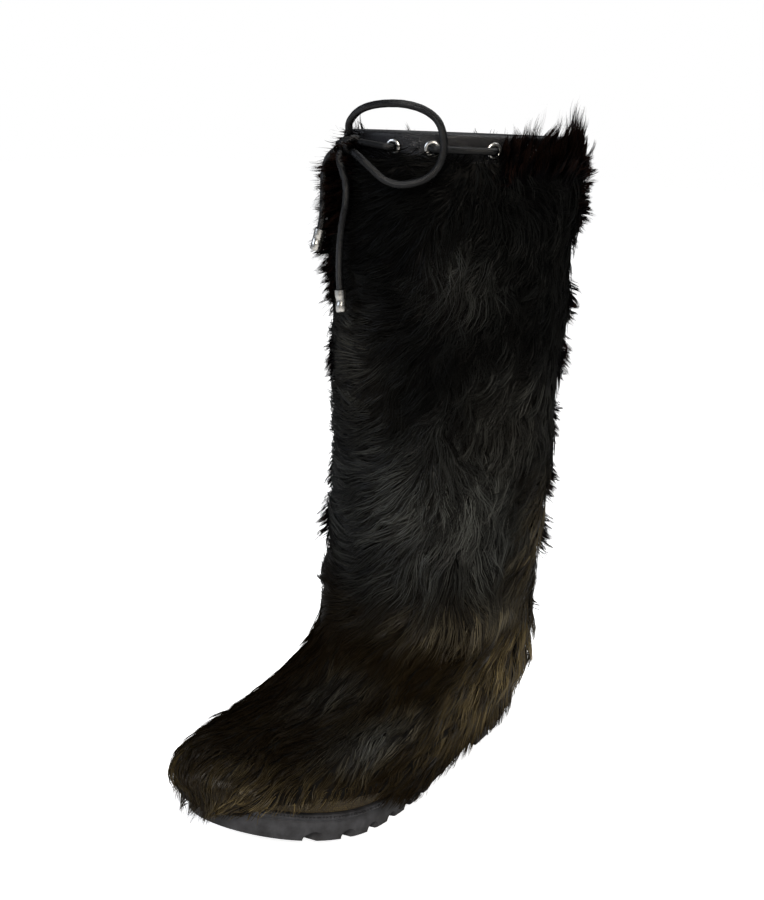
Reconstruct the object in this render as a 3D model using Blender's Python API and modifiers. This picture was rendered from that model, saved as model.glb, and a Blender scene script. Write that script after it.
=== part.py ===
"""Tall mukluk boot of long-haired hide on a lugged rubber sole, with a drawstring at its collar.

The left boot of a pair, empty, standing on its sole. Metres, +Z up, toe towards -Y and outer side
towards +X. The origin is on the floor under the middle of the heel.
"""

import math

import bmesh
import bpy
from mathutils import Matrix, Vector

# Sole
SOLE_LENGTH = 0.285
BALL_WIDTH = 0.112
HEEL_BACK = 0.042
HEEL_THICK = 0.026
BALL_THICK = 0.018
TOE_SPRING = 0.014
TOE_SWING = 0.008
BALL_SHARE = 0.30
LUG_DEPTH = 0.006
LUG_TAPER = 0.002
NOTCH_RADIUS = 0.0042
NOTCH_PITCH = 0.0185
NOTCH_SLANT = math.radians(14)
CHANNEL_WIDTH = 0.005
CHANNEL_OUT = 0.0175
ARCH_FRONT = 0.106
ARCH_BACK = 0.032
ARCH_RISE = 0.0075
WELT_HEIGHT = 0.0032
WELT_PROUD = 0.0012

# Upper and what wraps it
BOOT_HEIGHT = 0.406
INSTEP_HEIGHT = 0.125
HIDE_WALL = 0.0024
RAND_WALL = 0.0032
RAND_HEIGHT = 0.0135
INSOLE_THICK = 0.004
SHAFT_FRONT = 0.095
SHAFT_BACK = 0.039
ANKLE_HALF = 0.055
COLLAR_FRONT = 0.097
COLLAR_BACK = 0.045
COLLAR_HALF = 0.068
HEEL_BULGE = 0.0085
SHAFT_OUT = 0.0045
COLLAR_TILT = 0.003
GAP = 0.0003

# Hair
SHAFT_FUR = 0.0125
FOOT_FUR = 0.0065
TOE_FUR = 0.010
HEEL_FUR = 0.0105
LOCK_RELIEF = 0.005
FUR_SEAM_SHARE = 0.92
FUR_TOP_DROP = 0.0145
HEM_RAGGED = 0.0035
HEM_CLEAR = 0.0022
TUFT_ROOT = 0.0045
TUFT_LENGTH = 0.042
TUFT_SLIM = 0.16
LOCK_LENGTH = 0.022
TUFT_SINK = 0.003

# Collar casing, eyelets and drawstring
CASING_WALL = 0.0016
CASING_HEIGHT = 0.024
EYELET_COUNT = 14
FIRST_EYELET = math.radians(2.3)
EYELET_DROP = 0.0072
EYELET_BORE = 0.0028
EYELET_TUBE = 0.0005
EYELET_FLANGE = 0.0049
FLANGE_THICK = 0.0009
TIE_GAP = math.radians(44.4)
INSIDE_SPAN = math.radians(19.8)
CORD = 0.0045
CORD_BEND = 0.0035
KNOT_TURNS = 1.75
KNOT_AT = (-20.8, 0.0072)
KNOT_RADIUS = 0.0044
AGLET_LENGTH = 0.0135
AGLET_WALL = 0.0006
AGLET_MOUTH = 0.004

# Points round each section and round a tube
AROUND = 28
TUBE_SIDES = 8
HOLE_SIDES = 6
# How much wider a round hole's corners are than its flats
FLATS = 1 / math.cos(math.pi / TUBE_SIDES)
KNOT_POINTS = 22
LOOP_POINTS = 32

# Half widths of the sole along its length from the toe, as shares of the ball width
OUTLINE = (
    # along, outer, inner
    (0.00, 0.480, 0.490),
    (0.33, 0.515, 0.485),
    (0.48, 0.480, 0.410),
    (0.64, 0.425, 0.350),
    (0.85, 0.345, 0.345),
    (1.00, 0.335, 0.335),
)
TOE_ROUND_SHARE = 0.28
HEEL_ROUND_SHARE = 0.19

# Sections of the upper. Level 0 is the sole's top edge, 1 the instep and 2 the collar.
# reach: share of the way from the shaft's front line to the sole's toe.
# heel: share of HEEL_BULGE. girth: factor on the half width. flare: 0 at the ankle, 1 at the collar.
# turned: 0 for the foot's outline, 1 for an ellipse.
SECTIONS = (
    # level, reach, heel, girth, flare, turned
    (0.00, 1.000, 0.0, 1.00, 0.00, 0.00),
    (0.10, 1.012, 0.6, 1.03, 0.00, 0.00),
    (0.19, 0.965, 0.9, 1.02, 0.00, 0.02),
    (0.25, 0.840, 1.0, 1.00, 0.00, 0.05),
    (0.30, 0.675, 1.0, 0.98, 0.00, 0.09),
    (0.35, 0.525, 1.0, 0.95, 0.00, 0.15),
    (0.41, 0.370, 0.9, 0.93, 0.00, 0.24),
    (0.49, 0.240, 0.7, 0.93, 0.00, 0.38),
    (0.58, 0.152, 0.5, 0.94, 0.00, 0.54),
    (0.70, 0.078, 0.3, 0.96, 0.00, 0.74),
    (0.84, 0.050, 0.2, 0.98, 0.00, 0.91),
    (1.00, 0.025, 0.1, 1.00, 0.00, 1.00),
    (1.15, 0.010, 0.3, 1.00, 0.06, 1.00),
    (1.40, 0.000, 0.5, 1.00, 0.28, 1.00),
    (1.70, 0.000, 0.3, 1.00, 0.62, 1.00),
    (2.00, 0.000, 0.0, 1.00, 1.00, 1.00),
)
LEVEL, REACH, HEEL, GIRTH, FLARE, TURNED = range(6)
# Levels at which the hide and the hair's inner face have their corners
HIDE_LEVELS = (0.0, 0.063, 0.126, 0.19, 0.26, 0.32, 0.39, 0.47, 0.57)
HIDE_LEVELS += (0.72, 0.92, 1.04, 1.25, 1.5, 1.75, 1.9, 2.0)
ALONG, OUTER, INNER = range(3)

# Lower edge of the foot's hair above the sole's top edge, as shares of the rand's height
HEM = (
    # along the foot from the toe, height
    (0.00, -0.67),
    (0.02, -0.52),
    (0.07, 0.44),
    (0.12, 0.74),
    (0.25, 0.67),
    (0.36, -0.67),
    (0.50, -0.90),
    (1.00, -0.96),
)

# Upright tufts at the hair's top edge. turn: degrees from the front towards the outer side;
# length: share of TUFT_LENGTH.
TOP_TUFTS = (
    # turn, length, lean
    (70, 0.57, 0.30),
    (84, 0.71, 0.30),
    (97, 0.86, 0.32),
    (109, 1.00, 0.32),
    (122, 0.90, 0.35),
    (138, 0.71, 0.40),
    (168, 0.62, 0.50),
    (200, 0.62, 0.50),
    (236, 0.71, 0.50),
    (272, 0.62, 0.50),
)
# Locks that stand off the shaft and hang. length: share of LOCK_LENGTH.
SHAFT_LOCKS = (
    # turn, level, length
    (304, 1.84, 1.00),
    (316, 1.70, 0.91),
    (300, 1.50, 0.82),
    (312, 1.28, 0.82),
    (298, 1.10, 0.91),
    (122, 1.80, 1.18),
    (108, 1.70, 1.00),
    (128, 1.56, 1.09),
    (114, 1.40, 0.91),
    (126, 1.22, 0.91),
    (112, 1.06, 1.00),
)

# The drawstring's free parts. turn: degrees from the front towards the outer side.
LOOP = (
    # turn, drop below the collar's edge, out from the hide
    (-20.8, 0.0000, 0.0098),
    (-19.5, -0.0060, 0.0110),
    (-13.5, -0.0120, 0.0120),
    (-6.0, -0.0158, 0.0130),
    (3.0, -0.0178, 0.0135),
    (12.5, -0.0178, 0.0140),
    (20.5, -0.0150, 0.0145),
    (26.0, -0.0095, 0.0150),
    (28.5, -0.0015, 0.0160),
    (29.0, 0.0075, 0.0175),
    (27.0, 0.0170, 0.0190),
    (22.0, 0.0240, 0.0195),
    (13.5, 0.0275, 0.0195),
    (6.5, 0.0255, 0.0195),
    (0.5, 0.0200, 0.0190),
    (-5.5, 0.0145, 0.0180),
    (-11.0, 0.0115, 0.0155),
    (-15.4, 0.0110, 0.0125),
)
FRONT_END = (
    # turn, drop, out
    (-20.0, 0.0110, 0.0165),
    (-18.5, 0.0150, 0.0190),
    (-16.0, 0.0210, 0.0195),
    (-14.0, 0.0300, 0.0190),
    (-14.0, 0.0400, 0.0190),
    (-16.5, 0.0540, 0.0190),
    (-18.0, 0.0680, 0.0190),
    (-18.4, 0.0825, 0.0190),
    (-17.4, 0.0970, 0.0190),
)
SIDE_END = (
    # turn, drop, out
    (-23.4, 0.0098, 0.0168),
    (-27.5, 0.0150, 0.0192),
    (-30.0, 0.0235, 0.0202),
    (-30.5, 0.0325, 0.0205),
    (-30.3, 0.0410, 0.0210),
    (-30.1, 0.0490, 0.0216),
    (-30.2, 0.0555, 0.0226),
    (-30.5, 0.0613, 0.0240),
)


def blended(table, column, at):
    """A column of a table at a value of its first column, on a smooth curve through the rows."""
    if at <= table[0][0]:
        return table[0][column]
    if at >= table[-1][0]:
        return table[-1][column]
    k = max(i for i, row in enumerate(table) if row[0] <= at)

    def slope(i):
        low, high = max(i - 1, 0), min(i + 1, len(table) - 1)
        return (table[high][column] - table[low][column]) / (table[high][0] - table[low][0])

    span = table[k + 1][0] - table[k][0]
    t = (at - table[k][0]) / span
    start, end = table[k][column], table[k + 1][column]
    return (
        (2 * t**3 - 3 * t**2 + 1) * start
        + (t**3 - 2 * t**2 + t) * span * slope(k)
        + (3 * t**2 - 2 * t**3) * end
        + (t**3 - t**2) * span * slope(k + 1)
    )


def mix(a, b, share):
    return a + (b - a) * share


def ease(t):
    t = min(max(t, 0.0), 1.0)
    return t * t * (3 - 2 * t)


def from_toe(y):
    """Share of the sole's length at y, 0 at the toe and 1 at the heel."""
    return (y + SOLE_LENGTH - HEEL_BACK) / SOLE_LENGTH


def spring(y):
    """How far the toe lifts off the floor at y."""
    return TOE_SPRING * max(0.0, (BALL_SHARE - from_toe(y)) / BALL_SHARE) ** 2


def bed(y):
    """Height of the outsole's top."""
    climb = ease((from_toe(y) - BALL_SHARE) / (0.75 - BALL_SHARE))
    return mix(BALL_THICK, HEEL_THICK, climb) + spring(y)


def rounding(along):
    """Narrows an outline to nothing at its toe and heel."""
    toe = max(0.0, 1 - along / TOE_ROUND_SHARE) ** 2.4
    heel = max(0.0, 1 - (1 - along) / HEEL_ROUND_SHARE) ** 2.3
    return math.sqrt(max(0.0, 1 - toe)) * math.sqrt(max(0.0, 1 - heel))


def foot_outline(along, side):
    """Half width of the foot, as a share of half the ball width, on the outer (1) or inner (-1) side."""
    column = OUTER if side > 0 else INNER
    return 2 * blended(OUTLINE, column, along) * rounding(along)


def plan_point(turn, front, back, half, turned):
    """A point of a level outline. turn runs from the front (0) by the outer side to the back (0.5)."""
    along = (1 - math.cos(2 * math.pi * turn)) / 2
    side = math.copysign(1.0, math.sin(2 * math.pi * turn))
    oval = abs(math.sin(2 * math.pi * turn))
    swing = TOE_SWING * max(0.0, 1 - along / BALL_SHARE) ** 2 * (1 - turned)
    x = side * half * mix(foot_outline(along, side), oval, turned) - swing
    return x, mix(front, back, along)


def sole_point(turn, grow):
    return plan_point(turn, HEEL_BACK - SOLE_LENGTH - grow, HEEL_BACK + grow, BALL_WIDTH / 2 + grow, 0.0)


def skin(turn, level):
    """A point of the hide's outer face."""
    inset = RAND_WALL + GAP
    toe = SOLE_LENGTH - HEEL_BACK - inset
    flare = blended(SECTIONS, FLARE, level)
    low = min(level, 1.0)
    front = mix(mix(SHAFT_FRONT, COLLAR_FRONT, flare), toe, blended(SECTIONS, REACH, level))
    back = mix(mix(HEEL_BACK - inset, SHAFT_BACK, ease(low)), COLLAR_BACK, flare)
    back += HEEL_BULGE * blended(SECTIONS, HEEL, level)
    half = mix(mix(BALL_WIDTH / 2 - inset, ANKLE_HALF, ease(low)), COLLAR_HALF, flare)
    half *= blended(SECTIONS, GIRTH, level)
    x, y = plan_point(turn, -front, back, half, blended(SECTIONS, TURNED, level))
    x += SHAFT_OUT * ease((level - 0.85) / 0.7)
    if level <= 1:
        z = mix(bed(y) + GAP, INSTEP_HEIGHT, level)
    else:
        z = mix(INSTEP_HEIGHT, BOOT_HEIGHT - COLLAR_TILT * (y + front) / (front + back), level - 1)
    return Vector((x, y, z))


def outward(turn, level):
    """Unit normal of the hide's outer face, turned level next to the sole."""
    step = 0.004
    round_it = skin(turn + step, level) - skin(turn - step, level)
    up = skin(turn, max(level, 0.0) + step) - skin(turn, max(level - step, 0.0))
    normal = round_it.cross(up).normalized()
    normal.z *= ease((level - 0.05) / 0.25)
    return normal.normalized()


def off_skin(turn, level, out):
    """A point off the hide. Next to the sole it follows the rise of the sole's top edge."""
    base = skin(turn, level)
    point = base + outward(turn, level) * out
    point.z += (bed(point.y) - bed(base.y)) * (1 - ease(level / 0.2))
    return point


def level_up(height):
    """Level of a height above the sole's top edge, near the sole."""
    return height / (INSTEP_HEIGHT - BALL_THICK)


def level_down(drop):
    """Level of a distance below the collar's edge; a negative drop is above it."""
    return 2 - drop / (BOOT_HEIGHT - INSTEP_HEIGHT)


def collection(name):
    made = bpy.data.collections.new(name)
    bpy.context.scene.collection.children.link(made)
    return made


def material(name, colour, roughness, metallic=0.0):
    made = bpy.data.materials.new(name)
    made.use_nodes = True
    shader = made.node_tree.nodes["Principled BSDF"]
    shader.inputs["Base Color"].default_value = (*colour, 1.0)
    shader.inputs["Roughness"].default_value = roughness
    shader.inputs["Metallic"].default_value = metallic
    return made


def solid(name, points, faces, finish, folder):
    """A closed mesh object with its faces pointing out."""
    mesh = bpy.data.meshes.new(name)
    form = bmesh.new()
    corners = [form.verts.new(p) for p in points]
    for face in faces:
        form.faces.new([corners[i] for i in face])
    bmesh.ops.recalc_face_normals(form, faces=form.faces)
    form.to_mesh(mesh)
    form.free()
    mesh.materials.append(finish)
    made = bpy.data.objects.new(name, mesh)
    folder.objects.link(made)
    return made


def wrap(name, section, finish, folder):
    """A closed band round the boot. section(turn) lists its (level, out) corners, in order round the band."""
    rings = []
    for i in range(AROUND):
        turn = i / AROUND
        rings.append([off_skin(turn, level, out) for level, out in section(turn)])
    width = len(rings[0])
    faces = []
    for i in range(AROUND):
        for j in range(width):
            a, b = i * width, (i + 1) % AROUND * width
            k = (j + 1) % width
            faces.append((a + j, b + j, b + k, a + k))
    return solid(name, [p for ring in rings for p in ring], faces, finish, folder)


def stack(name, rings, finish, folder):
    """A closed solid lofted through level rings, with a cap of cross strips under and over it."""
    faces = []
    for r in range(len(rings) - 1):
        for i in range(AROUND):
            k = (i + 1) % AROUND
            faces.append((r * AROUND + i, r * AROUND + k, (r + 1) * AROUND + k, (r + 1) * AROUND + i))
    for first in (0, (len(rings) - 1) * AROUND):
        for i in range(AROUND // 2):
            strip = (i, i + 1, (AROUND - i - 1) % AROUND, (AROUND - i) % AROUND)
            faces.append([first + n for n in dict.fromkeys(strip)])
    return solid(name, [p for ring in rings for p in ring], faces, finish, folder)


def cutter(name, form, folder):
    """An object that only cuts, made from a bmesh."""
    mesh = bpy.data.meshes.new(name)
    form.to_mesh(mesh)
    form.free()
    made = bpy.data.objects.new(name, mesh)
    made.hide_render = True
    made.display_type = "WIRE"
    folder.objects.link(made)
    return made


def join_or_cut(target, tool, operation):
    boolean = target.modifiers.new(tool.name, "BOOLEAN")
    boolean.operation = operation
    boolean.object = tool
    boolean.solver = "EXACT"


def add_box(form, centre, size, turn=0.0):
    place = Matrix.Translation(centre) @ Matrix.Rotation(turn, 4, "Z") @ Matrix.Diagonal((*size, 1))
    bmesh.ops.create_cube(form, size=1.0, matrix=place)


def add_rod(form, centre, direction, radius, length, sides):
    aim = Vector(direction).to_track_quat("Z", "Y").to_matrix().to_4x4()
    bmesh.ops.create_cone(
        form,
        cap_ends=True,
        segments=sides,
        radius1=radius,
        radius2=radius,
        depth=length,
        matrix=Matrix.Translation(centre) @ aim,
    )


def notch_rows():
    """Where the grooves between the lugs run out at the sole's edge, front and heel."""
    front = [-ARCH_FRONT - NOTCH_PITCH * (k + 1) for k in range(6)]
    heel = [-ARCH_BACK + NOTCH_PITCH * (k + 1) for k in range(3)]
    return front, heel


def make_outsole(finish, parts, tools):
    def ring(grow, height):
        points = []
        for i in range(AROUND):
            x, y = sole_point(i / AROUND, grow)
            points.append((x, y, height(y)))
        return points

    rings = [
        ring(-LUG_TAPER, spring),
        ring(0.0, lambda y: spring(y) + LUG_DEPTH),
        ring(0.0, lambda y: bed(y) - WELT_HEIGHT - WELT_PROUD / 2),
        ring(WELT_PROUD, lambda y: bed(y) - WELT_HEIGHT),
        ring(WELT_PROUD, lambda y: bed(y) - WELT_PROUD / 2),
        ring(0.0, bed),
    ]
    outsole = stack("outsole", rings, finish, parts)
    front, heel = notch_rows()
    grooves, channels = bmesh.new(), bmesh.new()
    for y in front + heel:
        for side in (-1, 1):
            direction = (math.cos(NOTCH_SLANT), side * math.sin(NOTCH_SLANT), 0)
            reach = BALL_WIDTH / 2
            centre = (side * (CHANNEL_OUT + reach / 2), y + math.sin(NOTCH_SLANT) * reach / 2, spring(y))
            add_rod(grooves, (*centre[:2], centre[2] + 0.001), direction, NOTCH_RADIUS, reach, 10)
    for side in (-1, 1):
        for rows in (front, heel):
            middle, long = (rows[0] + rows[-1]) / 2, abs(rows[-1] - rows[0]) + 2 * NOTCH_RADIUS
            size = (CHANNEL_WIDTH, long, 2 * LUG_DEPTH * 0.75)
            add_box(channels, (side * CHANNEL_OUT, middle, 0), size)
    arch = bmesh.new()
    middle, long = -(ARCH_FRONT + ARCH_BACK) / 2, ARCH_FRONT - ARCH_BACK
    add_box(arch, (0, middle, 0), (2 * BALL_WIDTH, long, 2 * ARCH_RISE))
    join_or_cut(outsole, cutter("arch_cutter", arch, tools), "DIFFERENCE")
    join_or_cut(outsole, cutter("groove_cutter", grooves, tools), "DIFFERENCE")
    join_or_cut(outsole, cutter("channel_cutter", channels, tools), "DIFFERENCE")
    return outsole


def make_insole(finish, parts):
    clear = -(HIDE_WALL + 3 * GAP)

    def ring(height, out):
        points = []
        for i in range(AROUND):
            point = off_skin(i / AROUND, level_up(height), clear + out)
            points.append((point.x, point.y, bed(point.y) + height))
        return points

    rings = [ring(GAP, -0.001), ring(GAP + INSOLE_THICK * 0.7, 0.0), ring(GAP + INSOLE_THICK, -0.0015)]
    return stack("insole", rings, finish, parts)


def make_rand(finish, parts):
    top = level_up(RAND_HEIGHT)

    def section(turn):
        return [
            (0.004, GAP),
            (0.004, RAND_WALL),
            (top * 0.5, RAND_WALL + GAP),
            (top * 0.9, RAND_WALL * 0.85),
            (top, RAND_WALL * 0.5),
            (top, GAP),
            (top * 0.5, GAP),
        ]

    return wrap("rand", section, finish, parts)


def make_upper(finish, parts):
    def section(turn):
        outer = [(level, 0.0) for level in HIDE_LEVELS]
        inner = [(level, -HIDE_WALL) for level in reversed(HIDE_LEVELS[::2])]
        return outer + inner

    return wrap("upper", section, finish, parts)


def make_casing(finish, parts):
    """The drawstring casing, a leather strip folded over the hide's top edge."""
    low = level_down(CASING_HEIGHT)
    edge = level_down(-GAP)
    crest = level_down(-GAP - CASING_WALL)
    front = GAP + CASING_WALL
    rear = -(HIDE_WALL + GAP + CASING_WALL)

    def section(turn):
        return [
            (low, GAP),
            (low, front),
            (2.0, front),
            (crest, front * 0.2),
            (crest, mix(front, rear, 0.7)),
            (low, rear),
            (low, -(HIDE_WALL + GAP)),
            (edge, -(HIDE_WALL + GAP)),
            (edge, GAP),
        ]

    return wrap("collar_casing", section, finish, parts)


def turn_of(angle):
    """The turn at which the collar's oval lies at an angle from the front, towards the outer side."""
    across, deep = COLLAR_HALF, (COLLAR_FRONT + COLLAR_BACK) / 2
    return (math.atan2(math.sin(angle) / across, math.cos(angle) / deep) / (2 * math.pi)) % 1.0


def eyelet_turns():
    """Turns of the eyelets, from the one right of the knot, by the outer side and the back."""
    inside_spans = EYELET_COUNT // 2
    outside = (2 * math.pi - TIE_GAP - inside_spans * INSIDE_SPAN) / (inside_spans - 1)
    angles = [FIRST_EYELET]
    for k in range(EYELET_COUNT - 1):
        angles.append(angles[-1] + (INSIDE_SPAN if k % 2 == 0 else outside))
    return [turn_of(angle) for angle in angles]


def cut_eyelet_holes(pieces, tools):
    form = bmesh.new()
    level = level_down(EYELET_DROP)
    for turn in eyelet_turns():
        centre = off_skin(turn, level, -HIDE_WALL / 2)
        radius = (EYELET_BORE + EYELET_TUBE + GAP) / math.cos(math.pi / HOLE_SIDES)
        add_rod(form, centre, outward(turn, level), radius, 4 * EYELET_FLANGE, HOLE_SIDES)
    holes = cutter("eyelet_hole_cutter", form, tools)
    for piece in pieces:
        join_or_cut(piece, holes, "DIFFERENCE")


def make_eyelets(finish, parts):
    """Turned metal rings, each with its tube through the casing and the hide."""
    tube = EYELET_BORE + EYELET_TUBE
    inside = HIDE_WALL + 2 * GAP + 2 * CASING_WALL
    profile = [
        (EYELET_BORE, FLANGE_THICK),
        (EYELET_FLANGE, 0.0),
        (tube, 0.0),
        (tube, -inside),
        (EYELET_BORE, -inside),
    ]
    mesh = bpy.data.meshes.new("eyelet_profile")
    edges = [(i, (i + 1) % len(profile)) for i in range(len(profile))]
    mesh.from_pydata([(r, 0.0, z) for r, z in profile], edges, [])
    mesh.materials.append(finish)
    level = level_down(EYELET_DROP)
    for number, turn in enumerate(eyelet_turns(), 1):
        eyelet = bpy.data.objects.new(f"eyelet_{number:02d}", mesh)
        parts.objects.link(eyelet)
        screw = eyelet.modifiers.new("turned", "SCREW")
        screw.steps = screw.render_steps = TUBE_SIDES
        screw.use_merge_vertices = True
        screw.merge_threshold = 0.00001
        eyelet.location = off_skin(turn, level, 2 * GAP + CASING_WALL)
        eyelet.rotation_mode = "QUATERNION"
        eyelet.rotation_quaternion = outward(turn, level).to_track_quat("Z", "Y")


def lock_relief(i, row, rows):
    """Alternate locks stand proud and lie low, staggered from row to row like shingles."""
    if row in (0, rows):
        return 0.0
    raised = 1.0 if (i // 2 + row // 2) % 2 == 0 else -0.4
    ripple = math.sin(2.7 * i + 1.9 * row) * 0.35
    return LOCK_RELIEF * 0.5 * (raised + ripple)


def under_hair(level):
    """How far off the hide the hair's inner face lies, to pass over the rand, sole and casing."""
    if level <= 0.03:
        return RAND_WALL + WELT_PROUD + HEM_CLEAR
    if level <= level_up(RAND_HEIGHT) * 1.15:
        return RAND_WALL + 3 * GAP
    if level >= level_down(CASING_HEIGHT * 1.12):
        return 2.5 * GAP + CASING_WALL
    return mix(2.5, 1.5, ease(level * 2 - 1)) * GAP


def over_rand(bottom):
    """Levels where the hair's inner face has corners beside the rand, from a hem at level bottom."""
    top = level_up(RAND_HEIGHT) + 0.004
    return [max(HIDE_LEVELS[0], mix(bottom, top, 1 / 3)), max(HIDE_LEVELS[1], mix(bottom, top, 2 / 3)), top]


def fur_coat(name, low, high, depth, rows, inner, finish, parts):
    """The hair as one coat over the hide, with its locks raised. low(turn) and high(turn) are its edges."""

    def section(turn):
        i = round(turn * AROUND)
        bottom, top = low(turn), high(turn)
        corners = []
        for row in range(rows + 1):
            level = mix(bottom, top, row / rows)
            corners.append((level, depth(turn, level) + lock_relief(i, row, rows)))
        under = [(top, under_hair(top))]
        for level in reversed(inner(bottom)):
            under.append((level, under_hair(level)))
        under.append((bottom, under_hair(bottom)))
        return corners + under

    return wrap(name, section, finish, parts)


def foot_depth(turn, level):
    """Depth of the foot's hair, deeper round the toe and heel and towards the shaft."""
    toe = TOE_FUR * ease(math.cos(2 * math.pi * turn) * 3 - 2) * ease(1.6 - level / 0.16)
    heel = HEEL_FUR * ease(-math.cos(2 * math.pi * turn) * 2) * ease(level / 0.2) * ease((0.8 - level) / 0.35)
    return mix(FOOT_FUR + toe, SHAFT_FUR, ease((level - 0.4) / 0.5)) + heel


def hem(turn):
    """Level of the foot hair's lower edge, ragged from lock to lock."""
    along = (1 - math.cos(2 * math.pi * turn)) / 2
    i = round(turn * AROUND)
    ragged = HEM_RAGGED * (0.5 if i % 2 else -0.5) * (1 + 0.5 * math.sin(2.1 * i))
    return level_up(RAND_HEIGHT * blended(HEM, 1, along) + ragged * ease((along - 0.02) / 0.1))


def ragged_top(turn):
    i = round(turn * AROUND)
    return level_down(FUR_TOP_DROP + HEM_RAGGED * (0.6 if i % 2 else 0.0) * (1 + 0.5 * math.sin(1.7 * i)))


def add_tuft(form, root, direction, droop, length, radius):
    """A tapering lock of hair that bends by droop towards the floor."""
    direction = direction.normalized()
    rings = []
    for share, thick in ((0.0, 1.0), (0.5, 0.8), (1.0, 0.1)):
        centre = root + direction * length * share + Vector((0, 0, -droop * length * share**2 * 0.5))
        across = direction.cross(Vector((0, 0, 1))).normalized()
        through = direction.cross(across).normalized()
        ring = []
        for k in range(5):
            angle = 2 * math.pi * k / 5
            flat = across * math.cos(angle) + through * math.sin(angle) * 0.6
            ring.append(form.verts.new(centre + flat * radius * thick))
        rings.append(ring)
    faces = [form.faces.new(rings[0]), form.faces.new(rings[-1])]
    for a, b in zip(rings, rings[1:]):
        for k in range(5):
            faces.append(form.faces.new((a[k], a[(k + 1) % 5], b[(k + 1) % 5], b[k])))
    bmesh.ops.recalc_face_normals(form, faces=faces)


def add_shaft_tufts(coat, tools):
    """Fuses the tufts that stand up at the top edge and the locks that hang off the shaft."""
    for number, (degrees, share, lean) in enumerate(TOP_TUFTS, 1):
        form, turn, length = bmesh.new(), (degrees / 360) % 1.0, share * TUFT_LENGTH
        level = level_down(FUR_TOP_DROP + 2 * TUFT_ROOT)
        root = off_skin(turn, level, SHAFT_FUR - TUFT_SINK * 0.3)
        thick = length * TUFT_SLIM
        add_tuft(form, root, Vector((0, 0, 1)) + outward(turn, level) * lean, 0.0, length, thick)
        join_or_cut(coat, cutter(f"top_tuft_{number:02d}", form, tools), "UNION")
    for number, (degrees, level, share) in enumerate(SHAFT_LOCKS, 1):
        form, turn, length = bmesh.new(), (degrees / 360) % 1.0, share * LOCK_LENGTH
        root = off_skin(turn, level, SHAFT_FUR - TUFT_SINK)
        add_tuft(form, root, outward(turn, level) * 0.6 + Vector((0, 0, -0.8)), 0.25, length, TUFT_ROOT)
        join_or_cut(coat, cutter(f"shaft_lock_{number:02d}", form, tools), "UNION")


def smooth_path(points, count):
    """Points at even steps on a smooth curve through the given ones."""
    fine = []
    for i in range(len(points) - 1):
        p0, p1, p2, p3 = (points[min(max(i + k, 0), len(points) - 1)] for k in (-1, 0, 1, 2))
        for step in range(12):
            t = step / 12
            fine.append(
                p1
                + (p2 - p0) * (t / 2)
                + (p0 * 2 - p1 * 5 + p2 * 4 - p3) * (t * t / 2)
                + (p1 * 3 - p0 - p2 * 3 + p3) * (t**3 / 2)
            )
    fine.append(points[-1])
    reach = [0.0]
    for a, b in zip(fine, fine[1:]):
        reach.append(reach[-1] + (b - a).length)
    even, k = [], 0
    for step in range(count):
        want = reach[-1] * step / (count - 1)
        while k < len(fine) - 2 and reach[k + 1] < want:
            k += 1
        share = (want - reach[k]) / (reach[k + 1] - reach[k])
        even.append(fine[k].lerp(fine[k + 1], min(max(share, 0.0), 1.0)))
    return even


def tube(name, path, finish, parts):
    """A round cord along a path."""
    curve = bpy.data.curves.new(name + "_path", "CURVE")
    curve.dimensions = "3D"
    curve.bevel_depth = CORD / 2
    curve.bevel_resolution = 2
    curve.use_fill_caps = True
    spline = curve.splines.new("POLY")
    spline.points.add(len(path) - 1)
    for point, place in zip(spline.points, path):
        point.co = (*place, 1.0)
    sweep = bpy.data.objects.new(name + "_sweep", curve)
    mesh = bpy.data.meshes.new_from_object(sweep)
    bpy.data.objects.remove(sweep, do_unlink=True)
    form = bmesh.new()
    form.from_mesh(mesh)
    bmesh.ops.remove_doubles(form, verts=form.verts, dist=0.00001)
    bmesh.ops.recalc_face_normals(form, faces=form.faces)
    form.to_mesh(mesh)
    form.free()
    mesh.name = name
    mesh.materials.clear()
    mesh.materials.append(finish)
    for face in mesh.polygons:
        face.use_smooth = len(face.vertices) == 4
    made = bpy.data.objects.new(name, mesh)
    parts.objects.link(made)
    return made


def placed(rows):
    """Table rows of turn in degrees, drop and out as points."""
    return [off_skin((degrees / 360) % 1.0, level_down(drop), out) for degrees, drop, out in rows]


def rounded_corner(before, corner, after, steps):
    """A corner of a path, cut back by CORD_BEND and rounded."""
    start = corner + (before - corner).normalized() * CORD_BEND
    end = corner + (after - corner).normalized() * CORD_BEND
    if steps == 2:
        return [start, end]
    return [start, (start + end + corner) / 3, end]


def knot_frame():
    turn, level = (KNOT_AT[0] / 360) % 1.0, level_down(KNOT_AT[1])
    out = outward(turn, level)
    along = Vector((-out.y, out.x, 0)).normalized()
    if along.dot(skin(turn + 0.01, level) - skin(turn, level)) < 0:
        along = -along
    reach = KNOT_RADIUS + CORD / 2
    return off_skin(turn, level, 2 * GAP + CASING_WALL + reach), along, out


def make_knot(finish, parts):
    """Two close wraps of the cord round an axis along the collar."""
    centre, along, out = knot_frame()
    up = Vector((0, 0, 1))
    path = []
    for k in range(KNOT_POINTS):
        share = k / (KNOT_POINTS - 1) - 0.5
        angle = 2 * math.pi * KNOT_TURNS * share + math.pi
        wide = along * share * KNOT_TURNS * CORD * 1.12
        path.append(centre + wide + (out * math.cos(angle) + up * math.sin(angle)) * KNOT_RADIUS)
    return tube("drawstring_knot", path, finish, parts)


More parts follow.
